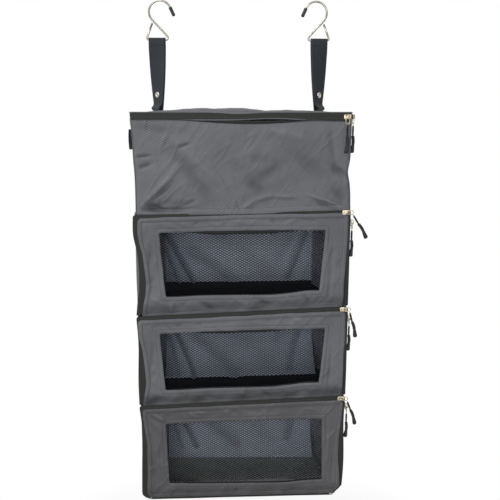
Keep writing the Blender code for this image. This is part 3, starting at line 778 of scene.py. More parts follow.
# How far each window's lower edge hangs under the straight, in millimetres by x in millimetres
WINDOW_FOOT = {
    1: [(-110, 0.0), (-50, 0.1), (0, 1.8), (40, 3.0), (68, 1.8), (90, 0.1), (112, 0.0)],
    2: [(-112, -0.8), (-45, -0.8), (0, 0.5), (37, 1.6), (65, 0.4), (89, -1.5), (114, -0.4)],
    3: [(-112, 0.0), (-68, 1.6), (0, 2.7), (60, 3.2), (80, 1.7), (97, 0.1), (120, 0.0)],
}


def between(low, high, x):
    """z on the line through two (x, z) corners."""
    return (low[1] + (high[1] - low[1]) * (x / MM - low[0]) / (high[0] - low[0])) * MM


def window_line(level, grow, dip=0.0):
    """A window's outline, grown all round; dip lowers the middle of its top edge."""
    top_left, top_right, low_right, low_left = WINDOWS[level]

    def top(x):
        sag = ease(-0.085, -0.035, x) * ease(0.088, 0.03, x)
        rise = WINDOW_BOW[level] * ease(-0.1, -0.04, x) * ease(0.11, 0.03, x)
        return between(top_left, top_right, x) + grow + rise - dip * sag

    def foot(x):
        return between(low_left, low_right, x) - grow - along(WINDOW_FOOT[level], x / MM) * MM

    corner = 0.0034 + max(grow, 0) * 0.6
    return outline(
        lambda h: (top_left[0] + (low_left[0] - top_left[0]) * h**1.2) * MM - grow,
        lambda h: (top_right[0] + (low_right[0] - top_right[0]) * h**1.1) * MM + grow,
        top, foot, ((corner, 1.0),) * 2 + ((0.0012, 1.0),) * 2,
    )


# Creases, as seen on the front: from (x, z) to (x, z) in millimetres, width, height.
# Heights below zero are valleys
FOLDS = {
    "pocket": [
        (-138, -290, -118, -269, 3.2, 1.5), (-118, -269, -92, -243, 3.4, 1.7),
        (-92, -243, -82, -230, 3.0, 1.0), (-128, -283, -98, -258, 3.0, -1.7),
        (-145, -221, -122, -219, 2.2, -1.5), (-140, -236, -121, -230, 3.4, -1.6),
        (-86, -209, -68, -202, 2.6, -1.3), (-95, -207, -32, -292, 11.0, -1.6),
        (-84, -203, -24, -262, 6.0, 1.0), (-82, -287, -63, -280, 2.4, -1.0),
        (-6, -284, -2, -297, 2.0, -1.0), (-2, -293, 18, -279, 2.8, 1.2), (18, -279, 40, -273.5, 2.8, 1.3),
        (40, -273.5, 74, -275, 2.8, 1.3), (92, -272, 119, -281, 2.3, 2.1),
        (119, -281, 140, -291, 2.3, 1.8), (8, -224, 44, -228, 7.0, -1.0), (6, -256, 33, -270, 6.0, -1.0),
        (120, -232, 146, -248, 5.5, -1.7), (100, -282, 140, -297, 4.0, -1.7),
        (126, -262, 143, -284, 7.0, -1.5), (60, -205, 118, -248, 12.0, -1.3),
        (20, -252, 60, -230, 8.0, -1.2), (-20, -225, 30, -260, 12.0, -1.0),
        (-136, -294, -66, -292, 4.0, -2.0), (20, -180, 100, -196, 9.0, 0.9),
        (-140, -182, -90, -190, 6.0, -1.0), (120, -180, 128, -232, 5.0, -0.8),
        (-132, -291, -104, -284, 6.0, -2.0), (-104, -284, -82, -286, 6.5, -1.0),
        (-139, -279, -106, -296, 4.5, -1.0),
    ],
    1: [
        (-96, -306, -84, -318, 2.2, -0.9), (-60, -305, -66, -317, 2.4, -0.8),
        (40, -303, 46, -314, 2.0, -1.0), (-30, -303, 30, -312, 5.0, 0.6),
        (80, -303, 104, -309, 3.0, -0.8), (-132, -412, -108, -424, 3.0, 1.0),
        (-96, -418, -100, -436, 3.4, 0.9), (-84, -420, -78, -434, 4.4, -0.7),
        (-60, -420, -40, -434, 5.0, -1.3), (-10, -414, 14, -430, 4.0, 1.0),
        (22, -416, 40, -429, 4.0, -1.2), (60, -412, 74, -426, 3.4, 1.0), (84, -410, 96, -426, 4.0, -1.2),
        (-141, -396, -116, -386, 3.0, -0.9), (-122, -330, -132, -400, 3.2, -0.8),
        (128, -318, 122, -424, 3.4, -0.7), (120, -330, 114, -404, 2.6, 0.6),
    ],
    2: [
        (-100, -448, -86, -462, 2.4, -0.9), (-58, -446, -64, -458, 2.4, -0.8),
        (32, -443, 38, -454, 2.0, -0.9), (60, -441, 84, -450, 3.4, 0.8),
        (-132, -552, -112, -562, 3.0, 1.0), (-94, -556, -98, -572, 3.4, 0.9),
        (-82, -558, -76, -571, 4.4, -0.7), (-52, -558, -34, -570, 4.4, -1.3),
        (-6, -553, 16, -567, 4.0, 0.9), (26, -553, 44, -566, 4.0, -1.2), (64, -549, 74, -563, 3.4, 1.0),
        (88, -547, 98, -563, 4.0, -1.1), (-141, -534, -116, -526, 3.0, -0.9),
        (-124, -474, -134, -540, 3.2, -0.8), (130, -456, 124, -560, 3.4, -0.7),
    ],
    3: [
        (-132, -588, -106, -604, 2.2, 1.2), (-136, -592, -112, -612, 3.0, -0.9),
        (-84, -583, -64, -598, 3.0, 1.0), (-76, -583, -50, -590, 4.0, 0.7),
        (-24, -580, -20, -594, 2.2, 0.9), (-8, -580, -4, -590, 1.8, 0.7), (34, -580, 36, -594, 1.8, 0.7),
        (-128, -630, -120, -690, 3.0, 0.9), (-136, -640, -126, -700, 2.4, -0.8),
        (-86, -702, -82, -716, 2.4, 0.9), (-30, -703, -22, -718, 2.4, 0.9),
        (-12, -703, -6, -716, 2.0, -0.8), (30, -703, 26, -716, 2.4, 0.8), (70, -702, 74, -716, 2.4, -0.8),
        (124, -606, 134, -590, 3.0, 1.0), (128, -616, 122, -690, 2.8, 0.8),
        (137, -620, 132, -700, 2.4, -0.9), (96, -702, 92, -716, 2.6, 0.8),
    ],
}

# Height in millimetres of the soft waves, the fine ones and the sharp pinches between the creases
POCKET_WAVES = (1.2, 0.4, 0.35)
DOOR_WAVES = (1.7, 0.8, 0.9)
# The cloth stays between these heights
VALLEY_LIMIT = -0.006
RIDGE_LIMIT = 0.0034


def fold_height(name, x, z):
    """Outward height of the cloth at x and z from its creases and a soft unevenness."""
    total = 0.0
    for x0, z0, x1, z1, width, height in FOLDS[name]:
        dx, dz = x1 - x0, z1 - z0
        length = dx * dx + dz * dz
        px, pz = x / MM - x0, z / MM - z0
        t = min(1.0, max(0.0, (px * dx + pz * dz) / length))
        away = ((px - t * dx) ** 2 + (pz - t * dz) ** 2) / (width * width)
        if away < 9:
            ends = ease(-0.05, 0.35, t) * ease(1.05, 0.65, t)
            total += height * math.exp(-away) * (0.35 + 0.65 * ends)
    bend = 0.006 * ripple(x, 0, z, 0.06, 13.0)
    pinch = 1 - min(1.0, abs(ripple(x + 0.4 * z + bend, 0, 0.7 * z - 0.3 * x + bend, 0.034, 17.0)) / 0.16)
    broad, fine, sharp = POCKET_WAVES if name == "pocket" else DOOR_WAVES
    soft = broad * ripple(x, 0, z, 0.055, 3.0) + fine * ripple(x + z, 0, z - x, 0.021, 7.0)
    return max(VALLEY_LIMIT, min(RIDGE_LIMIT, (total * 2.0 + soft + sharp * pinch * pinch) * MM))


def painted_fold_shade(name, x, z):
    """Painted shade in the valleys of the creases, and a painted highlight on their ridges."""
    height = fold_height(name, x, z)
    return 0.6 * ease(-0.0005, -0.0052, height) - 0.26 * ease(0.0014, 0.0033, height)


# Camera: it looks down a little on the front from just left of the middle
FOCAL = 662.4
PICTURE_WIDTH = 500
CAMERA_PLACE = (-0.0305, -1.0356, -0.1727)
CAMERA_PITCH = 11.05
CAMERA_YAW = 2.64
camera_data = bpy.data.cameras.new("camera")
camera_data.sensor_width = 36.0
camera_data.lens = FOCAL / PICTURE_WIDTH * camera_data.sensor_width
camera_data.clip_start = 0.05
camera = bpy.data.objects.new("camera", camera_data)
bpy.context.scene.collection.objects.link(camera)
camera.location = CAMERA_PLACE
camera.rotation_euler = (math.radians(90 - CAMERA_PITCH), 0, math.radians(-CAMERA_YAW))
bpy.context.scene.camera = camera


# Pocket front: how far its upper edge sags, in millimetres by x in millimetres
POCKET_SAG = [(-150, 0.0), (-95, 0.0), (-60, 2.2), (-25, 4.6), (15, 5.6), (55, 4.2), (100, 0.6),
              (118, 0.0), (150, 0.0)]
HEM_STITCH_RISE = 0.0078
# How far the pocket's edges stand under the rim and in from the corners, and where its lip and binding lie
POCKET_DROP = 0.0081
POCKET_INSET = 0.0008
LIP_DROP = 0.0086
LIP_Y = PANEL_Y - 0.0008
BINDING_Y = PANEL_Y - 0.0006
# How far the pocket's cloth swells, how deep its hem's stitches draw it in, and how its side edges roll back
POCKET_SWELL = 0.0004
HEM_SINK = 0.0004
EDGE_ROLL = 0.0016


def rim_dip(x):
    """The rim's tape runs lower toward the right corner."""
    return 0.0020 * ease(0.07, 0.14, x)


def pocket_sag(x):
    """How far the pocket's upper edge sags."""
    return along(POCKET_SAG, x / MM) * MM


def pocket_top(x):
    return RIM_Z - POCKET_DROP - pocket_sag(x) - rim_dip(x)


def pocket_foot(x):
    return seam(1, x) - along(POCKET_HANG, x / MM) * MM


def pocket_edge(side, share):
    drawn = along(POCKET_DRAW, share, 1 if side < 0 else 2) * MM
    return side * (FRONT_WIDTH / 2 - POCKET_INSET - drawn)


def pocket_point(s, h):
    """A point of the pocket's cloth from its share across and its share down."""
    left = pocket_edge(-1, h)
    right = pocket_edge(1, h)
    x = left + (right - left) * s
    z = pocket_top(x) + (pocket_foot(x) - pocket_top(x)) * h
    near_side = min(x - left, right - x)
    near_top = pocket_top(x) - z
    near_foot = z - pocket_foot(x)
    loose = ease(-0.055, -0.085, x)
    held = ease(0.004 - 0.003 * loose, 0.012 - 0.006 * loose, near_foot)
    free = ease(0.001, 0.009, near_side) * ease(0.0, 0.012, near_top) * held
    swell = POCKET_SWELL * ease(0.0, 0.05, near_foot)
    y = PANEL_Y - (fold_height("pocket", x, z) + swell) * free
    y -= HEM_LIFT * ease(0.0100, 0.0035, near_foot) * (1 - 0.6 * loose)
    y += HEM_SINK * ease(0.0011, 0.0, abs(near_foot - HEM_STITCH_RISE))
    y += EDGE_ROLL * ease(0.0022, 0.0, near_side) ** 2
    return Vector((x, y, z))


def build_pocket():
    columns = 210
    mesh = sheet_mesh("pocket_front_cloth", grid(96, columns, pocket_point))
    # Painted shade in the pocket's creases and painted highlights on their ridges
    paint_fold_shade(mesh, lambda p: painted_fold_shade("pocket", p.x, p.z))
    cloth = piece("pocket_front_cloth", mesh, GREY, "bag", "grey_fabric", "pocket_front", thick=CLOTH)
    row = []
    for j in range(columns + 1):
        x = pocket_point(j / columns, 1).x
        span = pocket_top(x) - pocket_foot(x)
        row.append(pocket_point(j / columns, 1 - HEM_STITCH_RISE / span) + Vector((0, -CLOTH / 2, 0)))
    stitch_row("pocket_hem_stitching", row[3:-3], FORWARD, "bag", "grey_fabric")
    for side, name in ((-1, "left"), (1, "right")):
        welt = []
        for i in range(41):
            edge = pocket_point(0 if side < 0 else 1, i / 40)
            welt.append(edge + Vector((side * 0.0004, 0.0006, 0)))
        piping("pocket_welt_" + name, welt, 0.0009, SIDE_GREY, "bag", "grey_fabric")
    lip = []
    band = [[], [], []]
    for j in range(6, columns - 5):
        x = -FRONT_WIDTH / 2 + FRONT_WIDTH * j / columns
        sag = pocket_sag(x)
        crest = 0.0022 * math.exp(-(((x - 0.040) / 0.035) ** 2))
        lip.append(Vector((x, LIP_Y, RIM_Z - LIP_DROP - 0.08 * sag + crest - rim_dip(x))))
        top = RIM_Z - 0.0088 - 0.20 * sag - rim_dip(x)
        low = min(pocket_top(x) - 0.0002, top)
        for k in range(3):
            band[k].append(Vector((x, BINDING_Y - 0.0003 * (k == 1), top + (low - top) * k / 2)))
    radii = [0.0003 + 0.0006 * ease(0.0, 0.003, pocket_sag(p.x)) for p in lip]
    piping("pocket_lip", lip, radii, GREY, "bag", "grey_fabric")
    piece("pocket_binding", band_mesh("pocket_binding", band), BINDING, "bag", "zip_tape", thick=0.0006)


# Zip tapes and their coils
def half_coil(name, path, out, inward, body):
    """Half of a zip's coil on a line: out is its outward side, inward points to its own tape."""
    even = resampled(path, BEAD_STEP)
    rails = [[], [], [], []]
    for i, point in enumerate(even):
        before = even[max(i - 1, 0)]
        after = even[min(i + 1, len(even) - 1)]
        line = (after - before).normalized()
        face = out(point) if callable(out) else out
        side = line.cross(face).normalized() * inward
        high = BEAD_LIFT * (1.0 if i % 2 else 0.62)
        reach = BEAD_HALF * (1.0 if i % 2 else 0.78)
        for k, (away, lift) in enumerate(((0.04, 0.55), (0.3, 1.0), (0.75, 0.75), (1.0, 0.0))):
            rails[k].append(point + side * (away * reach) + face * (lift * high - 0.0001))
    piece(name, sheet_mesh(name, rails), COIL, body, "zip_tape")


def ribbon(name, outer, inner, steps, bulge, face):
    """A tape between two lines, arched a little toward its face."""
    rails = []
    for k in range(steps + 1):
        t = k / steps
        lift = bulge * 4 * t * (1 - t)
        rails.append([a.lerp(b, t) + face * lift for a, b in zip(outer, inner)])
    return band_mesh(name, rails)


def build_door_zip(level, name):
    at = Vector((0, WOVEN_Y, 0))

    def line(draw, inset, head_at, corner):
        shape = door_line(level, inset, head_at, draw, corner)
        return [p + at for p in over_top(shape, feet=level == 3)]

    outer = line(tape_draw, 0.0, lambda x: 0.0, 0.0045)
    middle = line(zip_draw, 0.0, lambda x: ZIP_DROP, 0.0040)
    hidden = line(door_draw, 0.003, lambda x: door_head(level, x), 0.0040)
    body_mesh = ribbon("body_tape_" + name, outer, middle, 4, 0.0002, FORWARD)
    piece("body_tape_" + name, body_mesh, TAPE_CLOTH, "bag", "zip_tape", "tape_" + name, thick=WOVEN)
    door_mesh = ribbon("door_side_tape_" + name, middle, hidden, 5, 0.0001, FORWARD)
    piece("door_side_tape_" + name, door_mesh, TAPE_CLOTH, name + "_door", "zip_tape", "door_tape_" + name,
          thick=WOVEN)
    half_coil("body_coil_" + name, middle, FORWARD, 1, "bag")
    half_coil("door_coil_" + name, middle, FORWARD, -1, name + "_door")


# Doors: a cloth frame with a hem, sewn round its window.
# Rings of points by their distance from the door's edge and from the window, stitch lines among them
EDGE_STITCH = 0.0058
WINDOW_STITCH = 0.0056
EDGE_INSETS = (0.0, 0.0004, 0.0012, 0.0028, 0.0042, 0.0052, EDGE_STITCH, 0.0064, 0.0078)
WINDOW_GROWS = (0.0078, 0.0062, WINDOW_STITCH, 0.0050, 0.0036, 0.0016, 0.0005, 0.0)
MIDDLE_RINGS = 14

# How far the strip under the window bulges, how deep the two stitch lines draw the cloth in,
# and how far the cloth wanders off its drawn lines, in waves of that size
FOOT_BULGE = 0.0032
EDGE_SINK = 0.0005
WINDOW_SINK = 0.0004
SINK_WIDTH = 0.0009
WANDER = 0.0006
WANDER_SIZE = 0.019

# How much painted shade the strip under each window gets
FOOT_PAINTED_SHADE = {1: 0.48, 2: 0.70, 3: 0.42}


def door_surface(level, point, inset, grow):
    """Puts a point of the door's outline at its depth; inset and grow are its edge distances.

    The cloth lies flatter at the upper right, where the zip pulls rest on it.
    """
    x, z = point.x, point.z
    fold = fold_height(level, x, z)
    if fold < 0:
        fold *= ease(0.0074, 0.0135, grow)
    else:
        fold *= 1 - 0.8 * ease(0.110, 0.124, x) * ease(-0.066, -0.052, z - seam(level, x))
    rise = z - seam(level + 1, x)
    y = PANEL_Y - fold * ease(0.003, 0.012, inset) * ease(0.001, 0.009, grow)
    y -= FOOT_BULGE * ease(0.0, 0.016, rise) * ease(0.080, 0.022, rise)
    y -= HEM_LIFT * ease(0.0085, 0.0034, inset) - 0.0005 * ease(0.0008, 0.0, inset)
    y -= 0.0004 * ease(0.0066, 0.0040, grow) - 0.0008 * ease(0.0012, 0.0, grow)
    y += EDGE_SINK * ease(SINK_WIDTH, 0.0, abs(inset - EDGE_STITCH))
    y += WINDOW_SINK * ease(SINK_WIDTH, 0.0, abs(grow - WINDOW_STITCH))
    x += WANDER * ripple(x, 0, z, WANDER_SIZE, 41.0)
    z += WANDER * ripple(x, 0, z, WANDER_SIZE, 43.0) * ease(0.0, 0.004, rise)
    return Vector((x, y, z))


def painted_door_shade(level, x, z):
    """Painted shade on the strip under the window, which turns in to the zip below, in slanting bands; with
    the creases' painted shade and highlights, and a painted highlight at the lower door's right.
    """
    foot = ease(0.022, 0.009, z - seam(level + 1, x)) * FOOT_PAINTED_SHADE[level]
    # Slanting bands that make the painted shade on the strip deeper and lighter
    bands = 0.5 * ripple(x - 0.8 * z, 0, 0, 0.021, 51.0 + level)
    # The lower door's right side is painted lighter: a painted highlight.
    drawn = 0.22 * ease(0.095, 0.130, x) if level == 3 else 0.0
    return painted_fold_shade(level, x, z) + foot * (1 + 2 * bands) - drawn


def build_door(level, name):
    def head(x):
        return door_head(level, x)

    body = name + "_door"
    rails = []
    for inset in EDGE_INSETS:
        ring = door_line(level, inset, head, door_draw, max(0.0062 - inset, 0.0012))
        rails.append([door_surface(level, p, inset, 1.0) for p in ring])
    edge_ring = door_line(level, EDGE_INSETS[-1], head, door_draw, 0.0012)
    hole_ring = window_line(level, WINDOW_GROWS[0])
    for k in range(1, MIDDLE_RINGS):
        t = k / MIDDLE_RINGS
        ring = []
        for a, b in zip(edge_ring, hole_ring):
            span = (a - b).length
            inset = EDGE_INSETS[-1] + span * t
            grow = WINDOW_GROWS[0] + span * (1 - t)
            ring.append(door_surface(level, a.lerp(b, t), inset, grow))
        rails.append(ring)
    for grow in WINDOW_GROWS:
        rails.append([door_surface(level, p, 1.0, grow) for p in window_line(level, grow)])
    mesh = sheet_mesh("door_cloth_" + name, rails, closed=True)
    # Painted shade and painted highlights in the door's cloth
    paint_fold_shade(mesh, lambda p: painted_door_shade(level, p.x, p.z))
    cloth = piece("door_cloth_" + name, mesh, GREY_LOW if level == 3 else GREY, body, "grey_fabric",
                  "door_" + name, thick=CLOTH)
    cut = door_line(level, 0.0, head, door_draw, 0.006)
    hole = window_line(level, 0.0)
    flat_area(cut) - flat_area(hole)
    lift = Vector((0, -CLOTH / 2, 0))
    edge_row = [p + lift for p in rails[EDGE_INSETS.index(EDGE_STITCH)]]
    hole_row = [p + lift for p in rails[-len(WINDOW_GROWS) + WINDOW_GROWS.index(WINDOW_STITCH)]]
    stitch_row("door_stitching_" + name, edge_row, FORWARD, body, "grey_fabric", closed=True)
    stitch_row("window_stitching_" + name, hole_row, FORWARD, body, "grey_fabric", closed=True)


# Nets: diamond mesh inside a black binding, behind each window
NET_Y = FRONT_Y + 0.0022
CELL_WIDTH = 0.0061
CELL_HEIGHT = 0.0035
YARN = 0.00072
YARN_THICK = 0.0003
YARN_STEP = 0.006
# The two runs of yarn lie this far before and behind the net's middle
YARN_CROSS = 0.00012
# How far the net hangs slack, and how far its binding stands before it
NET_SLACK = 0.0009
BINDING_LIFT = 0.0004
# How far the net reaches under its binding, and the binding beyond the window
NET_TUCK = 0.0035
BINDING_WIDTH = 0.0072
# Yarns start this far to either side, so that the slanting ones fill the corners too
NET_REACH = 0.36


def clipped(origin, direction, corners):
    """Where a line runs inside a convex outline, as its two lengths."""
    low, high = -1e3, 1e3
    for a, b in zip(corners, corners[1:] + corners[:1]):
        edge = b - a
        normal = Vector((edge.z, 0, -edge.x))
        rate = direction.dot(normal)
        gap = (origin - a).dot(normal)
        if abs(rate) < 1e-12:
            if gap < 0:
                return None
            continue
        cross = -gap / rate
        if rate > 0:
            low = max(low, cross)
        else:
            high = min(high, cross)
    return (low, high) if high - low > 0.001 else None


def net_depth(level, x, z):
    """The net hangs slightly slack in its window."""
    return NET_Y + NET_SLACK * ripple(x, 0, z, 0.05, 11.0 + level)


def build_net(level, name):
    top_left, top_right, low_right, low_left = (Vector((x, 0, z)) * MM for x, z in WINDOWS[level])
    centre = (top_left + low_right) / 2
    corners = [low_left, top_left, top_right, low_right]
    corners = [p + (p - centre).normalized() * NET_TUCK for p in corners]
    reach = int(NET_REACH / CELL_WIDTH)
    points = []
    faces = []
    for sign in (1, -1):
        line = Vector((CELL_WIDTH, 0, sign * CELL_HEIGHT)).normalized()
        across = Vector((-line.z, 0, line.x)) * YARN / 2
        for k in range(-reach, reach + 1):
            origin = centre + Vector((k * CELL_WIDTH, 0, 0))
            run = clipped(origin, line, corners)
            if not run:
                continue
            count = max(2, int((run[1] - run[0]) / YARN_STEP))
            base = len(points)
            for i in range(count + 1):
                middle = origin + line * (run[0] + (run[1] - run[0]) * i / count)
                depth = net_depth(level, middle.x, middle.z) + YARN_CROSS * sign
                for way in (-1, 1):
                    point = middle + across * way
                    points.append(Vector((point.x, depth, point.z)))
                if i:
                    faces.append((base + 2 * i - 2, base + 2 * i - 1, base + 2 * i + 1, base + 2 * i))
    mesh = bpy.data.meshes.new("net_mesh_" + name)
    mesh.from_pydata(points, [], faces)
    lie_in_cloth(mesh, lambda p: (p.x, p.z))
    mesh.shade_smooth()
    yarn = NET_LOW if level == 3 else NET
    body = name + "_door"
    net = piece("net_mesh_" + name, mesh, yarn, body, "netting", "net_" + name, thick=YARN_THICK)
    width, height = (max(p[k] for p in corners) - min(p[k] for p in corners) for k in (0, 2))
    outer = window_line(level, BINDING_WIDTH)
    inner = window_line(level, -0.0002, BINDING_DIP[level])
    rails = []
    for k in range(5):
        t = k / 4
        lift = 0.0003 + 0.0003 * math.sin(math.pi * t)
        line = [a.lerp(b, t) for a, b in zip(outer, inner)]
        rails.append([Vector((p.x, NET_Y - BINDING_LIFT - lift, p.z)) for p in line])
    mesh = sheet_mesh("net_binding_" + name, rails, closed=True)
    piece("net_binding_" + name, mesh, BINDING, body, "zip_tape", thick=0.0005)


# Sides, back and floors
def foot_cut(side, depth):
    """How much of the bag's lower front corner is gone at a depth behind its front."""
    return FOOT_CORNERS[3][0 if side < 0 else 1][0] * MM * ease(0.045, 0.0, depth)


def foot_tuck(side, depth, z):
    """How far a side comes in round the lower corner: an arc on the left, a slant on the right."""
    cut = foot_cut(side, depth)
    rise = max(0.0, z - BOTTOM_Z)
    if rise >= cut:
        return 0.0
    if side > 0:
        return (cut - rise) * 0.94
    return cut - math.sqrt(max(0.0, cut * cut - (cut - rise) ** 2))


# How far back the drawn-in front corner runs out, beside the pocket and beside the doors
POCKET_FADE = 0.11
DOOR_FADE = 0.0075
# How far the left side swells beside the upper compartment
SIDE_SWELL = 0.0018
# How far the floors' seams draw the sides in, and how far in and out the sides may lie between them
SEAM_TUCK = 0.0011
SIDE_HOLLOW = -0.0016
SIDE_BELLY = 0.0012
# Radius of the piping down the back's edges and along its foot
BACK_PIPING = 0.0013
UPPER_SPAN = SEAM_Z[1] - SEAM_Z[2]


def side_x(side, y, z):
    """Outer face of a side panel; the left one swells beside the upper compartment."""
    depth = y - FRONT_Y
    fade = POCKET_FADE if z > SEAM_Z[1] else DOOR_FADE
    waist = corner_draw(side, z) * (1 - ease(0.0, fade, depth))
    tuck = 0.0
    for level in (1, 2, 3):
        away = abs(z - seam(level, side * half_width(y)) + FLOOR_DROP)
        tuck += SEAM_TUCK * ease(0.007, 0.0, away) * ease(0.0, 0.02, depth)
    open_span = ease(0.0, 0.02, depth) * ease(BACK_Y, BACK_Y - 0.02, y)
    slack = 0.0009 * ripple(0, y, z, 0.045, 5.0 * side) + 0.0006 * ripple(0, y * 2.2, z, 0.03, 9.0 * side)
    slack += 0.0008 * math.sin((z - RIM_Z) * 46) * open_span
    belly = max(SIDE_HOLLOW, min(SIDE_BELLY, slack)) * open_span
    if side < 0:
        share = max(0.0, min(1.0, (seam(1, -FRONT_WIDTH / 2) - z) / UPPER_SPAN))
        belly += SIDE_SWELL * math.sin(math.pi * share) * ease(0.004, 0.013, depth) * open_span
    return side * (half_width(y) - CLOTH / 2 - waist - tuck + belly - foot_tuck(side, depth, z))


def build_sides():
    rear_y = BACK_Y - REAR_GAP
    for side, name in ((-1, "left"), (1, "right")):
        def place(s, t):
            y = FRONT_Y + 0.0002 + (rear_y - FRONT_Y) * s
            top = RIM_Z - 0.0048 + 0.0030 * ease(LID_HINGE_Y - 0.002, LID_HINGE_Y + 0.003, y)
            z = top + (BOTTOM_Z - top) * t
            return Vector((side_x(side, y, z), y, z))

        rails = grid(190, 44, place)
        mesh = sheet_mesh("side_cloth_" + name, rails, lambda p: (p.y, p.z))
        cloth = piece("side_cloth_" + name, mesh, SIDE_GREY, "bag", "grey_fabric", "side_" + name,
                      thick=CLOTH)
        out = flank(side)
        inner = [[p - out * (0.0011 + 0.0015 * ease(-0.06, BACK_Y, p.y)) for p in rail[1:]]
                 for rail in rails[3:-1]]
        mesh = sheet_mesh("side_lining_" + name, inner, lambda p: (p.y, p.z))
        lining = piece("side_lining_" + name, mesh, SIDE_LINING, "bag", "grey_fabric", thick=0.0004)
        for level in (1, 2, 3):
            for k, drop in enumerate((0.0, 0.0042)):
                row = []
                for j in range(60):
                    y = FRONT_Y + 0.006 + (rear_y - FRONT_Y - 0.01) * j / 59
                    z = seam(level, side * half_width(y)) - FLOOR_DROP - drop
                    row.append(Vector((side_x(side, y, z), y, z)) + out * (CLOTH / 2))
                stitch_row(f"side_stitching_{name}_{level}_{k}", row, out, "bag", "grey_fabric")
        edge = []
        for i in range(80):
            z = RIM_Z - 0.003 + (BOTTOM_Z + 0.001 - RIM_Z) * i / 79
            edge.append(Vector((side_x(side, rear_y, z) + side * 0.0002, rear_y + 0.0004, z)))
        piping("back_piping_" + name, edge, BACK_PIPING, BINDING, "bag", "zip_tape")


TAB_WIDTH = 0.020
TAB_LAYERS = 0.0021


def build_tab():
    """The webbing loop sewn flat into the left corner under the rim."""
    along_side = Vector((-SIDE_SLOPE, 1, 0)).normalized()
    out = flank(-1)
    low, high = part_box("side_tab")
    corner = Vector((-FRONT_WIDTH / 2, FRONT_Y, 0)) + along_side * 0.004
    rails = []
    for k in range(9):
        across = corner + along_side * (TAB_WIDTH * k / 8)
        bend = []
        for i in range(1, 13):
            angle = math.pi * i / 12
            z = low.z + 0.0013 - 0.0010 * math.sin(angle)
            bend.append(across + out * (0.0009 + 0.0010 * (1 - math.cos(angle))) + Vector((0, 0, z)))
        face = []
        for i in range(1, 15):
            t = i / 14
            bow = 0.0006 * math.sin(math.pi * t)
            z = low.z + 0.0013 + (high.z - low.z - 0.0018) * t
            face.append(across + out * (0.0029 + bow) + Vector((0, 0, z)))
        behind = [p - out * TAB_LAYERS for p in (bend[-1], *face)]
        rails.append(behind[::-1] + bend + face)
    mesh = band_mesh("side_tab_webbing", rails)
    piece("side_tab_webbing", mesh, WEBBING, "bag", "webbing", "side_tab", thick=0.0009)
    for height in (0.004, 0.0058):
        rise = Vector((0, 0, high.z - height))
        row = [corner + along_side * (0.0018 + 0.0164 * j / 11) + out * 0.0037 + rise for j in range(12)]
        stitch_row(f"tab_stitching_{round(height * 10000)}", row, out, "bag", "webbing", BLACK_THREAD)


# How far the back hollows between two floors
BACK_HOLLOW = 0.0022


def back_depth(x, z):
    """Middle of the back cloth: it hollows a little between the floors."""
    level = 0
    while level < 3 and z < seam(level + 1, x):
        level += 1
    span = seam(level, x) - seam(level + 1, x)
    share = (seam(level, x) - z) / span
    hollow = math.sin(math.pi * min(max(share, 0.0), 1.0)) * (1 - (x / (BACK_WIDTH / 2)) ** 6)
    slack = 0.0008 * ripple(x, 0, z, 0.05, 21.0) + 0.0004 * ripple(x, 0, z, 0.018, 23.0)
    return BACK_Y - FABRIC_HALF - BACK_HOLLOW * hollow - (slack + 0.0003) * hollow


# Folds of the lining that show in the windows: from and to, as x from the bag's middle and z from
# the seam above, then width and height, all in millimetres
LINING_FOLDS = (((-121, -38), (-73, -130), 3.4, 12.0), ((-116, -74), (-97, -130), 2.8, 6.0),
                ((-74, -78), (-8, -130), 9.0, 7.0), ((104, -56), (77, -124), 5.5, 8.0),
                ((-34, -50), (44, -120), 14.0, 3.0), ((88, -48), (60, -92), 8.0, 3.5))

# How far the loose foot of each compartment's lining creeps forward on its floor, in metres,
# and how much further for each metre to the right
LINING_SLUMP = (0.012, 0.0, 0.050, 0.032)
LINING_DRIFT = (0.0, 0.0, 0.055, 0.042)
# Share of a compartment's height over which the lining creeps, and its distance from the back
SLUMP_SHARE = 0.55
LINING_OFF = 0.0012

# The covering of the upper floor turns up at the back as far as this level line
WELT_TOP = -0.4284


def lining_fold(level, x, z):
    """How far the lining stands off the back in its folds, in millimetres."""
    drop = (z - seam(level, x)) / MM
    total = 0.0
    for (x0, z0), (x1, z1), width, height in LINING_FOLDS:
        dx, dz = x1 - x0, z1 - z0
        px, pz = x / MM - x0, drop - z0
        t = min(1.0, max(0.0, (px * dx + pz * dz) / (dx * dx + dz * dz)))
        away = ((px - t * dx) ** 2 + (pz - t * dz) ** 2) / (width * width)
        total += height * math.exp(-away)
    return total


def lining_depth(level, x, z):
    """Depth of a lining: off the back by its folds and by its foot that creeps forward."""
    rise = (z - seam(level + 1, x)) / (SLUMP_SHARE * (seam(level, x) - seam(level + 1, x)))
    creep = LINING_SLUMP[level] + LINING_DRIFT[level] * max(0.0, x + BACK_WIDTH / 2)
    slump = creep * max(0.0, 1 - rise) ** 2
    return back_depth(x, z) - LINING_OFF - lining_fold(level, x, z) * MM - slump


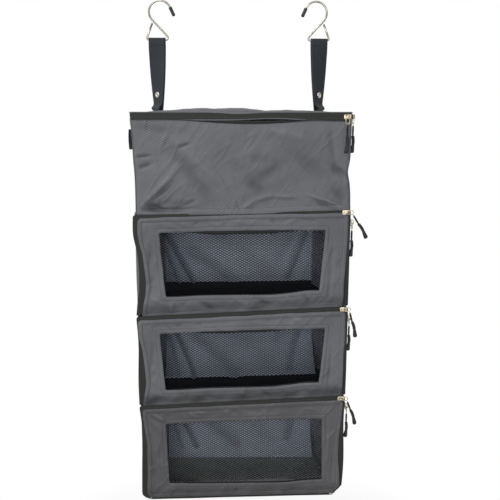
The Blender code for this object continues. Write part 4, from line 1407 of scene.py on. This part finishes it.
def build_back():
    half = BACK_WIDTH / 2
    columns = 70

    def wall(s, t):
        x = -half + 2 * half * s
        z = RIM_Z - 0.0008 + (BOTTOM_Z + 0.0004 - RIM_Z) * t
        return Vector((x, back_depth(x, z), z))

    def strip(s, t):
        y = LID_HINGE_Y + 0.0004 + (BACK_Y - REAR_GAP - LID_HINGE_Y) * t
        width = half_width(y) - 0.0006
        return Vector((-width + 2 * width * s, y, RIM_Z - FABRIC_HALF + 0.0002 * math.sin(8 * t)))

    rear_strip = sheet_mesh("rear_strip", grid(8, columns, strip), lambda p: (p.x, p.y))
    mesh = joined("back_cloth", sheet_mesh("back_wall", grid(170, columns, wall)), rear_strip)
    mesh.shade_smooth()
    back = piece("back_cloth", mesh, SIDE_GREY, "bag", "grey_fabric", "back_panel", thick=CLOTH)
    for level, above in enumerate(("pocket", *DOORS)):
        def hung(s, t):
            x = (-half + 0.002) + (2 * half - 0.004) * s
            top = seam(level, x) - (0.0045 if level else 0.0075)
            z = top + (seam(level + 1, x) + 0.0012 - top) * t
            return Vector((x, lining_depth(level, x, z), z))

        name = "lining_" + above
        mesh = sheet_mesh(name, grid(80, 150, hung))
        # Painted shade along the lining's folds
        paint_fold_shade(mesh, lambda p: min(0.6, lining_fold(level, p.x, p.z) / 18))
        cloth = piece(name, mesh, LINING, "bag", "grey_fabric", thick=0.0005)
        seam(level, 0) - seam(level + 1, 0)

    def welt(s, t):
        x = (-half + 0.003) + (2 * half - 0.006) * s
        low = seam(2, x) - 0.0008
        z = low + (WELT_TOP + 0.0005 * ripple(x, 0, 0, 0.03, 2.0) - low) * t
        return Vector((x, lining_depth(1, x, z) - 0.0008, z))

    mesh = sheet_mesh("upper_floor_welt", grid(3, columns, welt))
    piece("upper_floor_welt", mesh, BINDING, "bag", "zip_tape", thick=0.0005)
    for level in (1, 2, 3):
        row = []
        for j in range(80):
            x = -half + 0.004 + (2 * half - 0.008) * j / 79
            z = seam(level, x) - FLOOR_DROP
            row.append(Vector((x, back_depth(x, z) + CLOTH / 2, z)))
        stitch_row(f"back_stitching_{level}", row, Vector((0, 1, 0)), "bag", "grey_fabric")
    hem = [Vector((-half + 2 * half * j / 60, BACK_Y - 0.0008, BOTTOM_Z + 0.0012)) for j in range(61)]
    piping("back_foot_piping", hem, BACK_PIPING, BINDING, "bag", "zip_tape")


def inner_half(y):
    """Half the room between the side panels."""
    return half_width(y) - PANEL_THICK / math.cos(SIDE_TURN) - GAP


# The piping along the front foot: where it starts and how long it runs
FOOT_START = -0.1345
FOOT_RUN = 0.2645
BOARD_THICK = 0.0024
BOARD_EDGE = 0.0007
BOARD_CROWN = 0.0005


def build_floors():
    names = ("pocket_floor", "upper_floor", "middle_floor", "base_panel")
    foot = []
    for j in range(121):
        x = FOOT_START + FOOT_RUN * j / 120
        foot.append(Vector((x, FRONT_Y + 0.0004, BOTTOM_Z + 0.0010)))
    piping("front_foot_piping", foot, 0.0011, BINDING, "bag", "zip_tape")
    for level, name in enumerate(names, 1):
        base = level == 4

        def place(u, v):
            y = FRONT_Y + 0.0004 + (DEPTH - 0.0026) * v
            half = inner_half(y) - 0.0002
            left, right = (half - (foot_cut(k, y - FRONT_Y) if base else 0.0) for k in (-1, 1))
            x = -left + (left + right) * u
            edge = min(min(u, 1 - u) * 0.28, min(v, 1 - v) * DEPTH)
            crown = BOARD_CROWN * (ease(0.0, 0.02, edge) - ease(0.0012, 0.0, edge))
            return Vector((x, y, seam(level, x) - FLOOR_DROP + crown + 0.0003 * ripple(x, y, 0, 0.03, level)))

        rails = grid(30, 60, place)
        mesh = sheet_mesh(name + "_covered", rails, lambda p: (p.x, p.y))
        made = piece(name + "_covered", mesh, BASE_CLOTH if base else FLOOR_CLOTH, "bag", "black_board", name,
                     thick=BOARD_THICK)
        soft = made.modifiers.new("rounded edge", "BEVEL")
        soft.width = BOARD_EDGE
        soft.segments = 2
    under = [[p - Vector((0, 0, 0.0015)) for p in rail] for rail in rails]
    mesh = sheet_mesh("base_under_cloth", under, lambda p: (p.x, p.y))
    made = piece("base_under_cloth", mesh, SIDE_GREY, "bag", "grey_fabric", thick=0.0005)


# Lid: share of its full crown, by x in millimetres
LID_RISE = [(-148, 0.55), (-100, 0.8), (-60, 0.95), (-25, 1.05), (5, 0.95), (38, 0.4), (62, 0.6),
            (100, 0.6), (148, 0.45)]
LID_CROWN = 0.0068
PLAN_CORNER = 0.006
RIM_RECESS = 0.0009
# Stitch lines on the lid, as shares of its depth and its width
LID_STITCH_FRONT = 0.055
LID_STITCH_SIDE = 0.018


def lid_dip(point):
    """The lid's front edge hangs lower just left of the middle."""
    return 0.0020 * math.exp(-(((point.x + 0.003) / 0.024) ** 2)) * ease(FRONT_Y + 0.012, FRONT_Y, point.y)


def lid_height(x, y):
    """Height of the lid's cloth: crowned, with soft waves that run out at its edges."""
    end_y = LID_HINGE_Y - GAP
    u = x / half_width(y)
    v = 2 * (y - FRONT_Y) / (end_y - FRONT_Y) - 1
    crown = LID_CROWN * (1 - u**4) * (1 - min(1, abs(v)) ** 4) * along(LID_RISE, x / MM)
    wave = 0.0012 * ripple(x, y, 0, 0.04, 31.0) + 0.0009 * ripple(x, y * 0.6, 0, 0.014, 33.0)
    edge = 0.0010 * ease(0.0, -0.6, v)
    return RIM_Z - 0.0006 + edge + crown + wave * (1 - u**6) * (1 - v**6)


def lid_point(s, t):
    y = FRONT_Y - 0.0006 + (LID_HINGE_Y - 0.0006 - FRONT_Y) * t
    half = half_width(y) + 0.0004
    point = Vector((-half + 2 * half * s, y, 0))
    point.z = lid_height(point.x, max(y, FRONT_Y)) - lid_dip(point)
    return point


def build_lid():
    mesh = sheet_mesh("lid_cloth", grid(56, 130, lid_point), lambda p: (p.x, p.y))
    cloth = piece("lid_cloth", mesh, GREY, "lid", "grey_fabric", "lid_panel", thick=CLOTH)
    row = [lid_point(j / 120, LID_STITCH_FRONT) for j in range(3, 118)]
    left, right = ([lid_point(s, LID_STITCH_FRONT + 0.9 * i / 40) for i in range(41)]
                   for s in (LID_STITCH_SIDE, 1 - LID_STITCH_SIDE))
    path = list(reversed(left)) + row + right
    lift = Vector((0, 0, CLOTH / 2))
    stitch_row("lid_stitching", [p + lift for p in path], Vector((0, 0, 1)), "lid", "grey_fabric")
    top = [p - Vector((0, 0, lid_dip(p))) for p in plan_line(RIM_Z + 0.0008)]
    join = plan_line(LID_JOIN_Z)
    foot = [p - Vector((0, 0, rim_dip(p.x) if p.y < PANEL_Y else 0)) for p in plan_line(RIM_Z - 0.0083)]
    for name, high, low, body in (("lid", top, join, "lid"), ("pocket", join, foot, "bag")):
        rails = []
        for k in range(5):
            t = k / 4
            lift = 0.0002 * math.sin(math.pi * t)
            rails.append([a.lerp(b, t) + plan_out(a) * lift for a, b in zip(high, low)])
        tape = band_mesh(name + "_zip_tape", rails)
        piece(name + "_zip_tape", tape, TAPE_CLOTH, body, "zip_tape", name + "_tape", thick=WOVEN)
        half_coil(name + "_zip_coil", join, plan_out, -1 if name == "lid" else 1, body)
    edge = [p + plan_out(p) * 0.0002 + Vector((0, 0, 0.0003)) for p in top]
    piping("lid_piping", edge, 0.0007, GREY, "lid", "grey_fabric")


def rim_half(y):
    """Half the width of the zip round the rim."""
    return half_width(y) + TAPE_OUT - RIM_RECESS


def plan_line(z):
    """The rim's line in plan from the left rear round the front to the right rear."""
    rear = LID_HINGE_Y - GAP
    left = []
    for i in range(61):
        y = rear + (WOVEN_Y + PLAN_CORNER - rear) * i / 60
        left.append(Vector((-rim_half(y), y, z)))
    edge = rim_half(WOVEN_Y) - PLAN_CORNER
    middle = [Vector((-edge + 2 * edge * j / 120, WOVEN_Y, z)) for j in range(121)]
    knee = Vector((-rim_half(WOVEN_Y), WOVEN_Y, z))
    corner = []
    for i in range(1, 8):
        t = i / 8
        corner.append(left[-1].lerp(knee, t).lerp(knee.lerp(middle[0], t), t))
    near = left + corner
    return near + middle + [Vector((-p.x, p.y, z)) for p in reversed(near)]


def plan_out(point):
    """Outward side of the rim at a point of it."""
    side = 1 if point.x > 0 else -1
    edge = rim_half(WOVEN_Y) - PLAN_CORNER
    t = max(ease(edge, edge + PLAN_CORNER, abs(point.x)) * 0.5, ease(WOVEN_Y, WOVEN_Y + PLAN_CORNER, point.y))
    if abs(point.x) < edge:
        t = 0.0
    return FORWARD.lerp(flank(side), t).normalized()


# Straps
STRAP_DROP = 0.1085
STRAP_SPREAD = 0.243
STRAP_TWIST = math.radians(64)
WEB_WIDTH = 0.025
WEB = 0.0014
LAYER_SPACING = 0.002
BIGHT_TAPER = 0.030
TAIL_START = 0.008
TAIL_END = 0.004
WIRE_RADIUS = 0.0015
SNAP_HEIGHT = 0.0285

# The tail's end stands off the strap by this much, about a height and over a span
TAIL_BULGE = 0.0050
BULGE_HEIGHT = 0.0085
BULGE_SPAN = 0.0038

# Box stitching under the tail's fold: how far under it, and how wide as a share of the webbing
BOX_LOW = 0.019
BOX_HIGH = 0.003
BOX_WIDE = 0.78

# Press stud, turned about its axis: radius and height of its two halves
SNAP_CAP = [(0, 0.0010), (0.0012, 0.0010), (0.0016, 0.0006), (0.0021, 0.0006), (0.0026, 0.0013),
            (0.0034, 0.0014), (0.0041, 0.0010), (0.0045, 0.0003), (0.0045, -0.0001), (0, -0.0001)]
SNAP_STUD = [(0, 0.0002), (0.0016, 0.0002), (0.0018, 0.0010), (0.0026, 0.0012), (0.0032, 0.0008),
             (0.0040, 0.0007), (0.0045, 0.0002), (0.0045, -0.0001), (0, -0.0001)]


def strap_frame(side, height):
    """Middle of a strap at a height over the rim, and its directions across and outward."""
    turn = STRAP_TWIST * (1 - min(height, STRAP_DROP) / STRAP_DROP)
    across = Vector((math.cos(turn), side * math.sin(turn), 0))
    out = Vector((side * math.sin(turn), -math.cos(turn), 0))
    return Vector((side * STRAP_SPREAD / 2, 0, RIM_Z + height)), across, out


def layer_offset(height):
    """Half the distance between the strap's two layers: they part round the hook's bar."""
    bight = WIRE_RADIUS + GAP + WEB / 2
    near = ease(STRAP_DROP - BIGHT_TAPER, STRAP_DROP, height)
    return LAYER_SPACING / 2 + (bight - LAYER_SPACING / 2) * near


def strap_point(side, share, offset, height):
    """A point of the webbing: share is -1 to 1 across it, and offset its distance from the middle."""
    centre, across, out = strap_frame(side, height)
    return centre + across * (share * WEB_WIDTH / 2) + out * offset


def web_mesh(name, side, stations):
    """Webbing through (offset, height) stations, slightly cupped across."""
    rails = []
    for k in range(11):
        share = 2 * k / 10 - 1
        cup = 0.00012 * (1 - share * share)
        rails.append([strap_point(side, share, offset + cup, height) for offset, height in stations])
    return band_mesh(name, rails)


def build_straps():
    heights = [STRAP_DROP * i / 54 for i in range(55)]
    bight = layer_offset(STRAP_DROP)
    tail_top = STRAP_DROP - TAIL_START
    for side, name in ((-1, "left"), (1, "right")):
        run = [(-layer_offset(h), max(h, GAP)) for h in heights[:-1]]
        for i in range(17):
            angle = math.pi * i / 16
            run.append((-bight * math.cos(angle), STRAP_DROP + bight * math.sin(angle)))
        run += [(layer_offset(h), h) for h in reversed(heights[:-1]) if h > tail_top + GAP + 0.0008]
        run += [(layer_offset(tail_top), tail_top + GAP + rim) for rim in (0.0004, 0.0)]
        web = web_mesh("strap_web_" + name, side, run)
        piece("strap_web_" + name, web, WEBBING, "bag", "webbing", "strap_" + name, thick=WEB - 0.0001)
        tail = [(layer_offset(h), h) for h in heights if TAIL_END < h < tail_top]
        tail = [(layer_offset(TAIL_END) + 0.0002, TAIL_END), *tail, (layer_offset(tail_top), tail_top)]
        tail = [(offset + TAIL_BULGE * math.exp(-(((h - BULGE_HEIGHT) / BULGE_SPAN) ** 2)), h)
                for offset, h in tail]
        tail_body = "tail_" + name
        web = web_mesh("tail_web_" + name, side, tail)
        piece("tail_web_" + name, web, WEBBING, tail_body, "webbing", "strap_tail_" + name,
              thick=WEB - 0.0001)
        low, high = tail_top - BOX_LOW, tail_top - BOX_HIGH
        loop = [(way * BOX_WIDE, height) for way, height in
                ((-1, low), (1, low), (1, high), (-1, high), (-1, low), (1, high))]
        path = []
        for (a, h0), (b, h1) in zip(loop, loop[1:]):
            for i in range(12):
                h = h0 + (h1 - h0) * i / 12
                path.append(strap_point(side, a + (b - a) * i / 12, layer_offset(h) + WEB / 2, h))
        _, _, out = strap_frame(side, tail_top)
        stitch_row("strap_box_stitching_" + name, path, out, tail_body, "webbing", BLACK_THREAD)
        centre, across, out = strap_frame(side, SNAP_HEIGHT)
        face = LAYER_SPACING / 2 + WEB / 2 + GAP
        outward = axes(centre + out * face, across, out.cross(across))
        inward = axes(centre - out * face, across, -out.cross(across))
        cap = moved(lathe("cap", SNAP_CAP, 32), outward)
        stud = moved(lathe("stud", SNAP_STUD, 32), inward)
        piece("snap_button_" + name, cap, SNAP_METAL, tail_body, "hook_steel", "snap_cap_" + name)
        piece("snap_back_" + name, stud, SNAP_METAL, "bag", "hook_steel", "snap_stud_" + name)


# Hooks
HOOK_BAR = 0.032
HOOK_CORNER = 0.003
HOOK_LEG_RISE = 0.005
CROWN_RADIUS = 0.0164
CROWN_HEIGHT = 0.0395
CROWN_OFFSET = 0.0054
CROWN_END = math.radians(25)
HOOK_POINT = 0.0115

# Sleeve on the hook's point: radius and height along it
HOOK_SLEEVE = [(0.0015, -0.0002), (0.0022, -0.0001), (0.00255, 0.0005), (0.0026, 0.0030), (0.0025, 0.0100),
               (0.00255, 0.0118), (0.0022, 0.0132), (0.0013, 0.0137), (0, 0.0138)]


def fillet(before, corner, after, radius, steps=8):
    """An arc that rounds a corner between two straight runs."""
    into = (before - corner).normalized()
    out = (after - corner).normalized()
    half = into.angle(out) / 2
    setback = radius / math.tan(half)
    middle = corner + (into + out).normalized() * (radius / math.sin(half))
    first = corner + into * setback - middle
    last = corner + out * setback - middle
    return [middle + first.slerp(last, i / steps) * radius for i in range(steps + 1)]


def hook_wire():
    """The left hook's wire from the middle of its bar, and the direction of its point."""
    crown = Vector((CROWN_OFFSET, 0, CROWN_HEIGHT))
    left = Vector((-HOOK_BAR / 2, 0, 0))
    right = Vector((HOOK_BAR / 2, 0, 0))
    knee = Vector((HOOK_BAR / 2, 0, HOOK_LEG_RISE))
    reach = (crown - knee).length
    start = math.atan2(knee.z - crown.z, knee.x - crown.x) - math.acos(CROWN_RADIUS / reach)
    tangent = crown + CROWN_RADIUS * Vector((math.cos(start), 0, math.sin(start)))
    leg = (tangent - knee).normalized()
    meeting = tangent - leg * WIRE_RADIUS
    up_left = (meeting - left).normalized()
    lean = math.sin(up_left.angle(leg))
    left_end = meeting - up_left * (2 * WIRE_RADIUS + GAP) / lean
    points = [left_end]
    points += fillet(left_end, left, right, HOOK_CORNER)
    points += fillet(left, right, knee, HOOK_CORNER)
    points += fillet(right, knee, tangent, HOOK_CORNER)
    sweep = start + 2 * math.pi - CROWN_END
    for i in range(49):
        angle = start + 2 * math.pi - sweep * i / 48
        points.append(crown + CROWN_RADIUS * Vector((math.cos(angle), 0, math.sin(angle))))
    toward = Vector((math.sin(CROWN_END), 0, -math.cos(CROWN_END)))
    points.append(points[-1] + toward * HOOK_POINT)
    return points, toward


def build_hooks():
    points, toward = hook_wire()
    for side, name in ((1, "left"), (-1, "right")):
        at = Vector((-side * STRAP_SPREAD / 2, 0, BAR_Z))
        line = [Vector((side * p.x, p.y, p.z)) + at for p in points]
        wire = tube("hook_wire_" + name, line, WIRE_RADIUS, 16)
        piece("hook_wire_" + name, wire, CHROME, "hooks", "hook_steel", "hook_" + name)
        turn = Vector((0, 0, 1)).rotation_difference(Vector((side * toward.x, 0, toward.z)))
        on_point = Matrix.Translation(line[-2]) @ turn.to_matrix().to_4x4()
        sleeve = moved(lathe("sleeve", HOOK_SLEEVE, 24), on_point)
        piece("hook_sleeve_" + name, sleeve, SLEEVE, "hooks", "sleeve_plastic", "hook_tip_" + name)


# Sliders, rings and cord pulls
SLIDER_LENGTH = 0.0100
SLIDER_WIDTH = 0.0066
SLIDER_PLATE = 0.0013
ARCH_LENGTH = 0.0066
ARCH_WIDTH = 0.0022
ARCH_WALL = 0.0010
TUNNEL_HEIGHT = 0.0024
RING_WIRE = 0.0005
RING_WIDTH = 0.0052
RING_LENGTH = 0.0085
RING_ROUNDING = 0.0015
CORD_EYE = 0.0006
CORD_LENGTH = 0.015
GRIP_LENGTH = 0.023
TUNNEL_FLOOR = GAP + SLIDER_PLATE
RING_HEIGHT = TUNNEL_FLOOR + TUNNEL_HEIGHT / 2
RING_START = ARCH_LENGTH / 2 - ARCH_WALL - TUNNEL_HEIGHT / 2
RING_END = RING_START + RING_LENGTH
GRIP_CURL = 0.0008

# Where the sliders stop short of the corners, and each door's top pull leans, in degrees
CORNER_GAP = 0.0085
TOP_SLIDER_GAP = 0.0070
SIDE_SLIDER_DROP = 0.018
PULL_LEANS = (32, 15, 20)


def bevelled(mesh, width):
    """Rounds a moulded part's sharp edges."""
    work = bmesh.new()
    work.from_mesh(mesh)
    edges = [e for e in work.edges if len(e.link_faces) == 2 and e.calc_face_angle() > 0.6]
    bmesh.ops.bevel(work, geom=edges, offset=width, segments=2, affect="EDGES", profile=0.6)
    bmesh.ops.recalc_face_normals(work, faces=work.faces)
    work.to_mesh(mesh)
    work.free()
    mesh.shade_smooth()
    mesh.set_sharp_from_angle(angle=SHARP_MOULDED)
    return mesh


def slab(name, shape, low, high):
    """A flat plate of an outline in x and y, between two heights."""
    count = len(shape)
    points = [Vector((x, y, z)) for z in (low, high) for x, y in shape]
    faces = [tuple(reversed(range(count))), tuple(range(count, 2 * count))]
    faces += [(i, (i + 1) % count, count + (i + 1) % count, count + i) for i in range(count)]
    mesh = bpy.data.meshes.new(name)
    mesh.from_pydata(points, [], faces)
    lie_in_cloth(mesh, lambda p: (p.x, p.y))
    return mesh


def slider_shape(name, width, length):
    """A slider's waisted plate with its side walls, under an arched bridge."""
    a, b = width / 2, length / 2
    shape = []
    for i in range(40):
        angle = 2 * math.pi * (i + 0.5) / 40
        c, s = math.cos(angle), math.sin(angle)
        x = a * math.copysign(abs(c) ** 0.45, c)
        y = b * math.copysign(abs(s) ** 0.45, s)
        waist = 1 - 0.10 * math.cos(math.pi * (y / b if b > a else x / a) / 2) ** 2
        shape.append((x * (waist if b > a else 1), y * (1 if b > a else waist)))
    plate = bevelled(slab(name, shape, GAP, TUNNEL_FLOOR), 0.00032)
    half = ARCH_LENGTH / 2
    under = TUNNEL_FLOOR + TUNNEL_HEIGHT
    rails = []
    inner = [(-half + ARCH_WALL, TUNNEL_FLOOR - 0.0004)]
    outer = [(-half, TUNNEL_FLOOR - 0.0004)]
    for i in range(13):
        angle = math.pi * (1 - i / 12)
        c, s = math.cos(angle), math.sin(angle)
        bend = math.copysign(abs(c) ** 0.6, c)
        inner.append((bend * (half - ARCH_WALL), under - 0.0010 + 0.0010 * abs(s) ** 0.6))
        outer.append((bend * half, under - 0.0010 + 0.0020 * abs(s) ** 0.6))
    inner.append((half - ARCH_WALL, TUNNEL_FLOOR - 0.0004))
    outer.append((half, TUNNEL_FLOOR - 0.0004))
    for x, line in ((-1, inner), (-1, outer), (1, outer), (1, inner), (-1, inner)):
        rails.append([Vector((x * ARCH_WIDTH / 2, y, z)) for y, z in line])
    arch = sheet_mesh(name + "_arch", rails)
    work = bmesh.new()
    work.from_mesh(arch)
    bmesh.ops.remove_doubles(work, verts=work.verts, dist=1e-6)
    work.to_mesh(arch)
    work.free()
    arch = bevelled(arch, 0.00022)
    both = joined(name, plate, arch)
    both.shade_smooth()
    both.set_sharp_from_angle(angle=SHARP_MOULDED)
    return both


def ring_line():
    """A rounded link, from its top bar, hanging along -Y."""
    a = RING_WIDTH / 2
    corners = [Vector((x, y, 0)) for x, y in ((-a, 0), (a, 0), (a, -RING_LENGTH), (-a, -RING_LENGTH))]
    points = []
    for i, corner in enumerate(corners):
        points += fillet(corners[i - 1], corner, corners[(i + 1) % 4], RING_ROUNDING, 6)
    return points


def pull_parts():
    """Two cord strands looped on the ring and the moulded grip below them, along -Z."""
    eye = -RING_WIRE - CORD_EYE
    neck = eye - CORD_LENGTH
    loop = []
    for sign in (-1, 1):
        side = [Vector((sign * 0.00045, 0, neck - 0.001)), Vector((sign * 0.0005, 0, neck + 0.002))]
        for i in range(1, 11):
            t = i / 10
            apart = 0.00055 + 0.0001 * math.sin(math.pi * t)
            side.append(Vector((sign * apart, 0.0002 * math.sin(5 * t), neck + 0.002 + 0.0105 * t)))
        loop.append(side)
    top = [Vector((x, 0, eye - z)) for x, z in ((-0.00045, 0.0016), (-0.0003, 0.0009), (0, 0.0006),
                                                (0.0003, 0.0009), (0.00045, 0.0016))]
    line = loop[0] + top + list(reversed(loop[1]))
    radii = [0.00072 if eye - p.z > 0.0022 else 0.00040 for p in line]
    cord = tube("pull_cord", line, radii, 8)
    end = neck - GRIP_LENGTH
    profile = [(0, neck + 0.0004), (0.0014, neck + 0.0004), (0.0020, neck - 0.0002), (0.0022, neck - 0.0012),
               (0.0021, neck - 0.0030)]
    for k in range(3):
        rib = neck - 0.0046 - 0.0024 * k
        profile += [(0.00195, rib + 0.0010), (0.00235, rib + 0.0005), (0.00235, rib - 0.0003),
                    (0.00195, rib - 0.0008)]
    profile += [(0.0021, neck - 0.0130), (0.0023, neck - 0.0145), (0.0025, neck - 0.0160),
                (0.0027, neck - 0.0178), (0.0029, end + 0.0036), (0.0030, end + 0.0022),
                (0.0028, end + 0.0011), (0.0022, end + 0.0003), (0.0012, end), (0, end)]
    grip = lathe("pull_grip", profile, 20)
    for vertex in grip.vertices:
        curl = GRIP_CURL * math.sin(1.5 * math.pi * max(0.0, neck - vertex.co.z) / GRIP_LENGTH)
        vertex.co += Vector((curl, 0.5 * curl, 0))
    return cord, grip


ACROSS = slider_shape("slider_across", SLIDER_LENGTH, SLIDER_WIDTH)
ALONG = slider_shape("slider_along", SLIDER_WIDTH, SLIDER_LENGTH)
RING = tube("zip_ring", ring_line(), RING_WIRE, 10, closed=True)
PULL_CORD, PULL_GRIP = pull_parts()


def zip_set(name, mesh, at, out, hang, pull_along):
    """A slider with its ring and pull, where the frame has them."""
    right = (-hang).cross(out)
    local = axes(at, right, -hang)
    piece("zip_slider_" + name, moved(mesh, local), ZIP_METAL, name + "_slider", "zip_metal",
          "slider_" + name)
    top = local @ Vector((0, -RING_START, RING_HEIGHT))
    link = Matrix.Translation(top - at) @ local
    piece("zip_link_" + name, moved(RING, link), ZIP_METAL, name + "_ring", "zip_metal", "ring_" + name)
    aside = pull_along.dot(right)
    corner = math.copysign(RING_WIDTH / 2 - RING_ROUNDING, aside) if abs(aside) > 0.1 else 0
    middle = local @ Vector((corner, RING_ROUNDING - RING_END, RING_HEIGHT))
    far = middle + pull_along * RING_ROUNDING
    turn = Vector((0, 0, -1)).rotation_difference(pull_along).to_matrix().to_4x4()
    hung = Matrix.Translation(far) @ turn
    body = name + "_pull"
    piece("pull_grip_" + name, moved(PULL_GRIP, hung), GRIP, body, "pull_plastic", "pull_" + name)
    piece("pull_cord_" + name, moved(PULL_CORD, hung), CORD, body, "pull_plastic")


def tape_half(y):
    """Half the width to the outer face of the zip tapes, where the sliders sit."""
    return half_width(y) + (GAP + TAPE_THICK) / math.cos(SIDE_TURN)


def build_zip_sets():
    down = Vector((0, 0, -1))
    across = Vector((1, 0, 0))
    edge = tape_half(TAPE_Y)
    zip_set("lid_front", ACROSS, Vector((edge - CORNER_GAP, TAPE_Y, LID_JOIN_Z)), FORWARD, down, down)
    side_y = TAPE_Y + CORNER_GAP
    zip_set("lid_side", ACROSS, Vector((tape_half(side_y), side_y, LID_JOIN_Z)), flank(1), down, down)
    for level, (name, lean) in enumerate(zip(DOORS, PULL_LEANS), 1):
        x = edge - TOP_SLIDER_GAP
        slant = Vector((math.sin(math.radians(lean)), 0, -math.cos(math.radians(lean))))
        zip_set(name + "_top", ALONG, Vector((x, TAPE_Y, seam(level, x) - ZIP_DROP)), FORWARD, across, slant)
        beside = TAPE_Y + 0.0015 + SLIDER_WIDTH / 2
        side_z = seam(level, edge) - SIDE_SLIDER_DROP
        zip_set(name + "_side", ALONG, Vector((edge, beside, side_z)), across, down, down)


# Cloth over the hinges: a strip along the foot of each door, between the bag and the part that opens
HINGE_HALF = 0.138


def build_hinges():
    for level, name in enumerate(DOORS, 1):
        def place(s, t):
            x = -HINGE_HALF + 2 * HINGE_HALF * s
            z = seam(level + 1, x) - 0.0006 + 0.0026 * t
            return Vector((x, DOOR_HINGE_Y + 0.0016 - 0.0007 * math.sin(math.pi * t), z))

        mesh = sheet_mesh("hinge_cloth_" + name, grid(6, 60, place))
        made = piece("hinge_cloth_" + name, mesh, GREY_LOW if level == 3 else GREY, "bag", "grey_fabric")
        made.parent = None
        middle = Vector((0, DOOR_HINGE_Y, seam(level + 1, 0)))
        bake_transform(made)


# Studio
FLOOR_REACH = 6.0
FLOOR_Z = BOTTOM_Z - 0.32
WHITE = colour(1, 1, 1)
DOME_LIGHT = 0.20
LAMP_AIM = Vector((0, -0.1, -0.36))


def mixed_in(wire, output, share, lit, shown):
    """Shows one shader in place of the lit one, on that share of the rays."""
    sockets = {0: share, 1: Wire(wire.tree, lit.outputs[0]), 2: shown}
    both = wire.node("ShaderNodeMixShader", (), sockets)
    wire.tree.links.new(both.socket, wire.tree.nodes[output].inputs["Surface"])


def build_stage():
    mesh = bpy.data.meshes.new("studio_floor")
    corners = [(x * FLOOR_REACH, y * FLOOR_REACH, FLOOR_Z) for x, y in ((-1, -1), (1, -1), (1, 1), (-1, 1))]
    mesh.from_pydata(corners, [], [(0, 1, 2, 3)])
    floor = bpy.data.objects.new("studio_floor", mesh)
    bpy.context.scene.collection.objects.link(floor)
    made, shader, wire = finish("white_paper", Base_Color=colour(0.86, 0.86, 0.86), Roughness=0.9)
    here = place_on(wire)
    x, y = here.part(0), here.part(1)
    away = (x * x + y * y).ramp((0.06, 0.80), (0.30, 1.0))
    glow = wire.node("ShaderNodeEmission", (), {"Color": WHITE, "Strength": 1.0})
    mixed_in(wire, "Material Output", seen_directly(wire) * away, shader, glow)
    mesh.materials.append(made)


def seen_directly(wire):
    """1 on rays that the camera, or a mirror or glass on its way, sends out."""
    kinds = [wire.node("ShaderNodeLightPath", (), (), out=k) for k in (0, 3, 6)]
    return kinds[0].math("MAXIMUM", kinds[0], kinds[1].math("MAXIMUM", kinds[1], kinds[2]))


def build_world():
    world = bpy.data.worlds.new("studio")
    bpy.context.scene.world = world
    world.use_nodes = True
    wire = Wire(world.node_tree)
    dome = world.node_tree.nodes["Background"]
    dome.inputs["Color"].default_value = WHITE
    dome.inputs["Strength"].default_value = DOME_LIGHT
    paper = wire.node("ShaderNodeBackground", (), {"Color": WHITE, "Strength": 1.0})
    mixed_in(wire, "World Output", seen_directly(wire), dome, paper)


def lamp(name, place, power, size):
    """A square softbox that faces the bag."""
    data = bpy.data.lights.new(name, "AREA")
    data.energy = power
    data.shape = "SQUARE"
    data.size = size
    made = bpy.data.objects.new(name, data)
    bpy.context.scene.collection.objects.link(made)
    made.location = place
    made.rotation_euler = (LAMP_AIM - Vector(place)).to_track_quat("-Z", "Y").to_euler()


build_hooks()
build_straps()
build_lid()
build_pocket()
build_sides()
build_tab()
build_back()
build_floors()
for number, door_name in enumerate(DOORS, 1):
    build_door_zip(number, door_name)
    build_door(number, door_name)
    build_net(number, door_name)
build_zip_sets()
build_hinges()
build_stage()
build_world()
lamp("key_softbox", place=(-0.80, -0.75, 1.00), power=17.0, size=0.4)
lamp("front_softbox", place=(-0.15, -1.75, -0.12), power=13.0, size=0.8)

view_settings = bpy.context.scene.view_settings
view_settings.view_transform = "Standard"
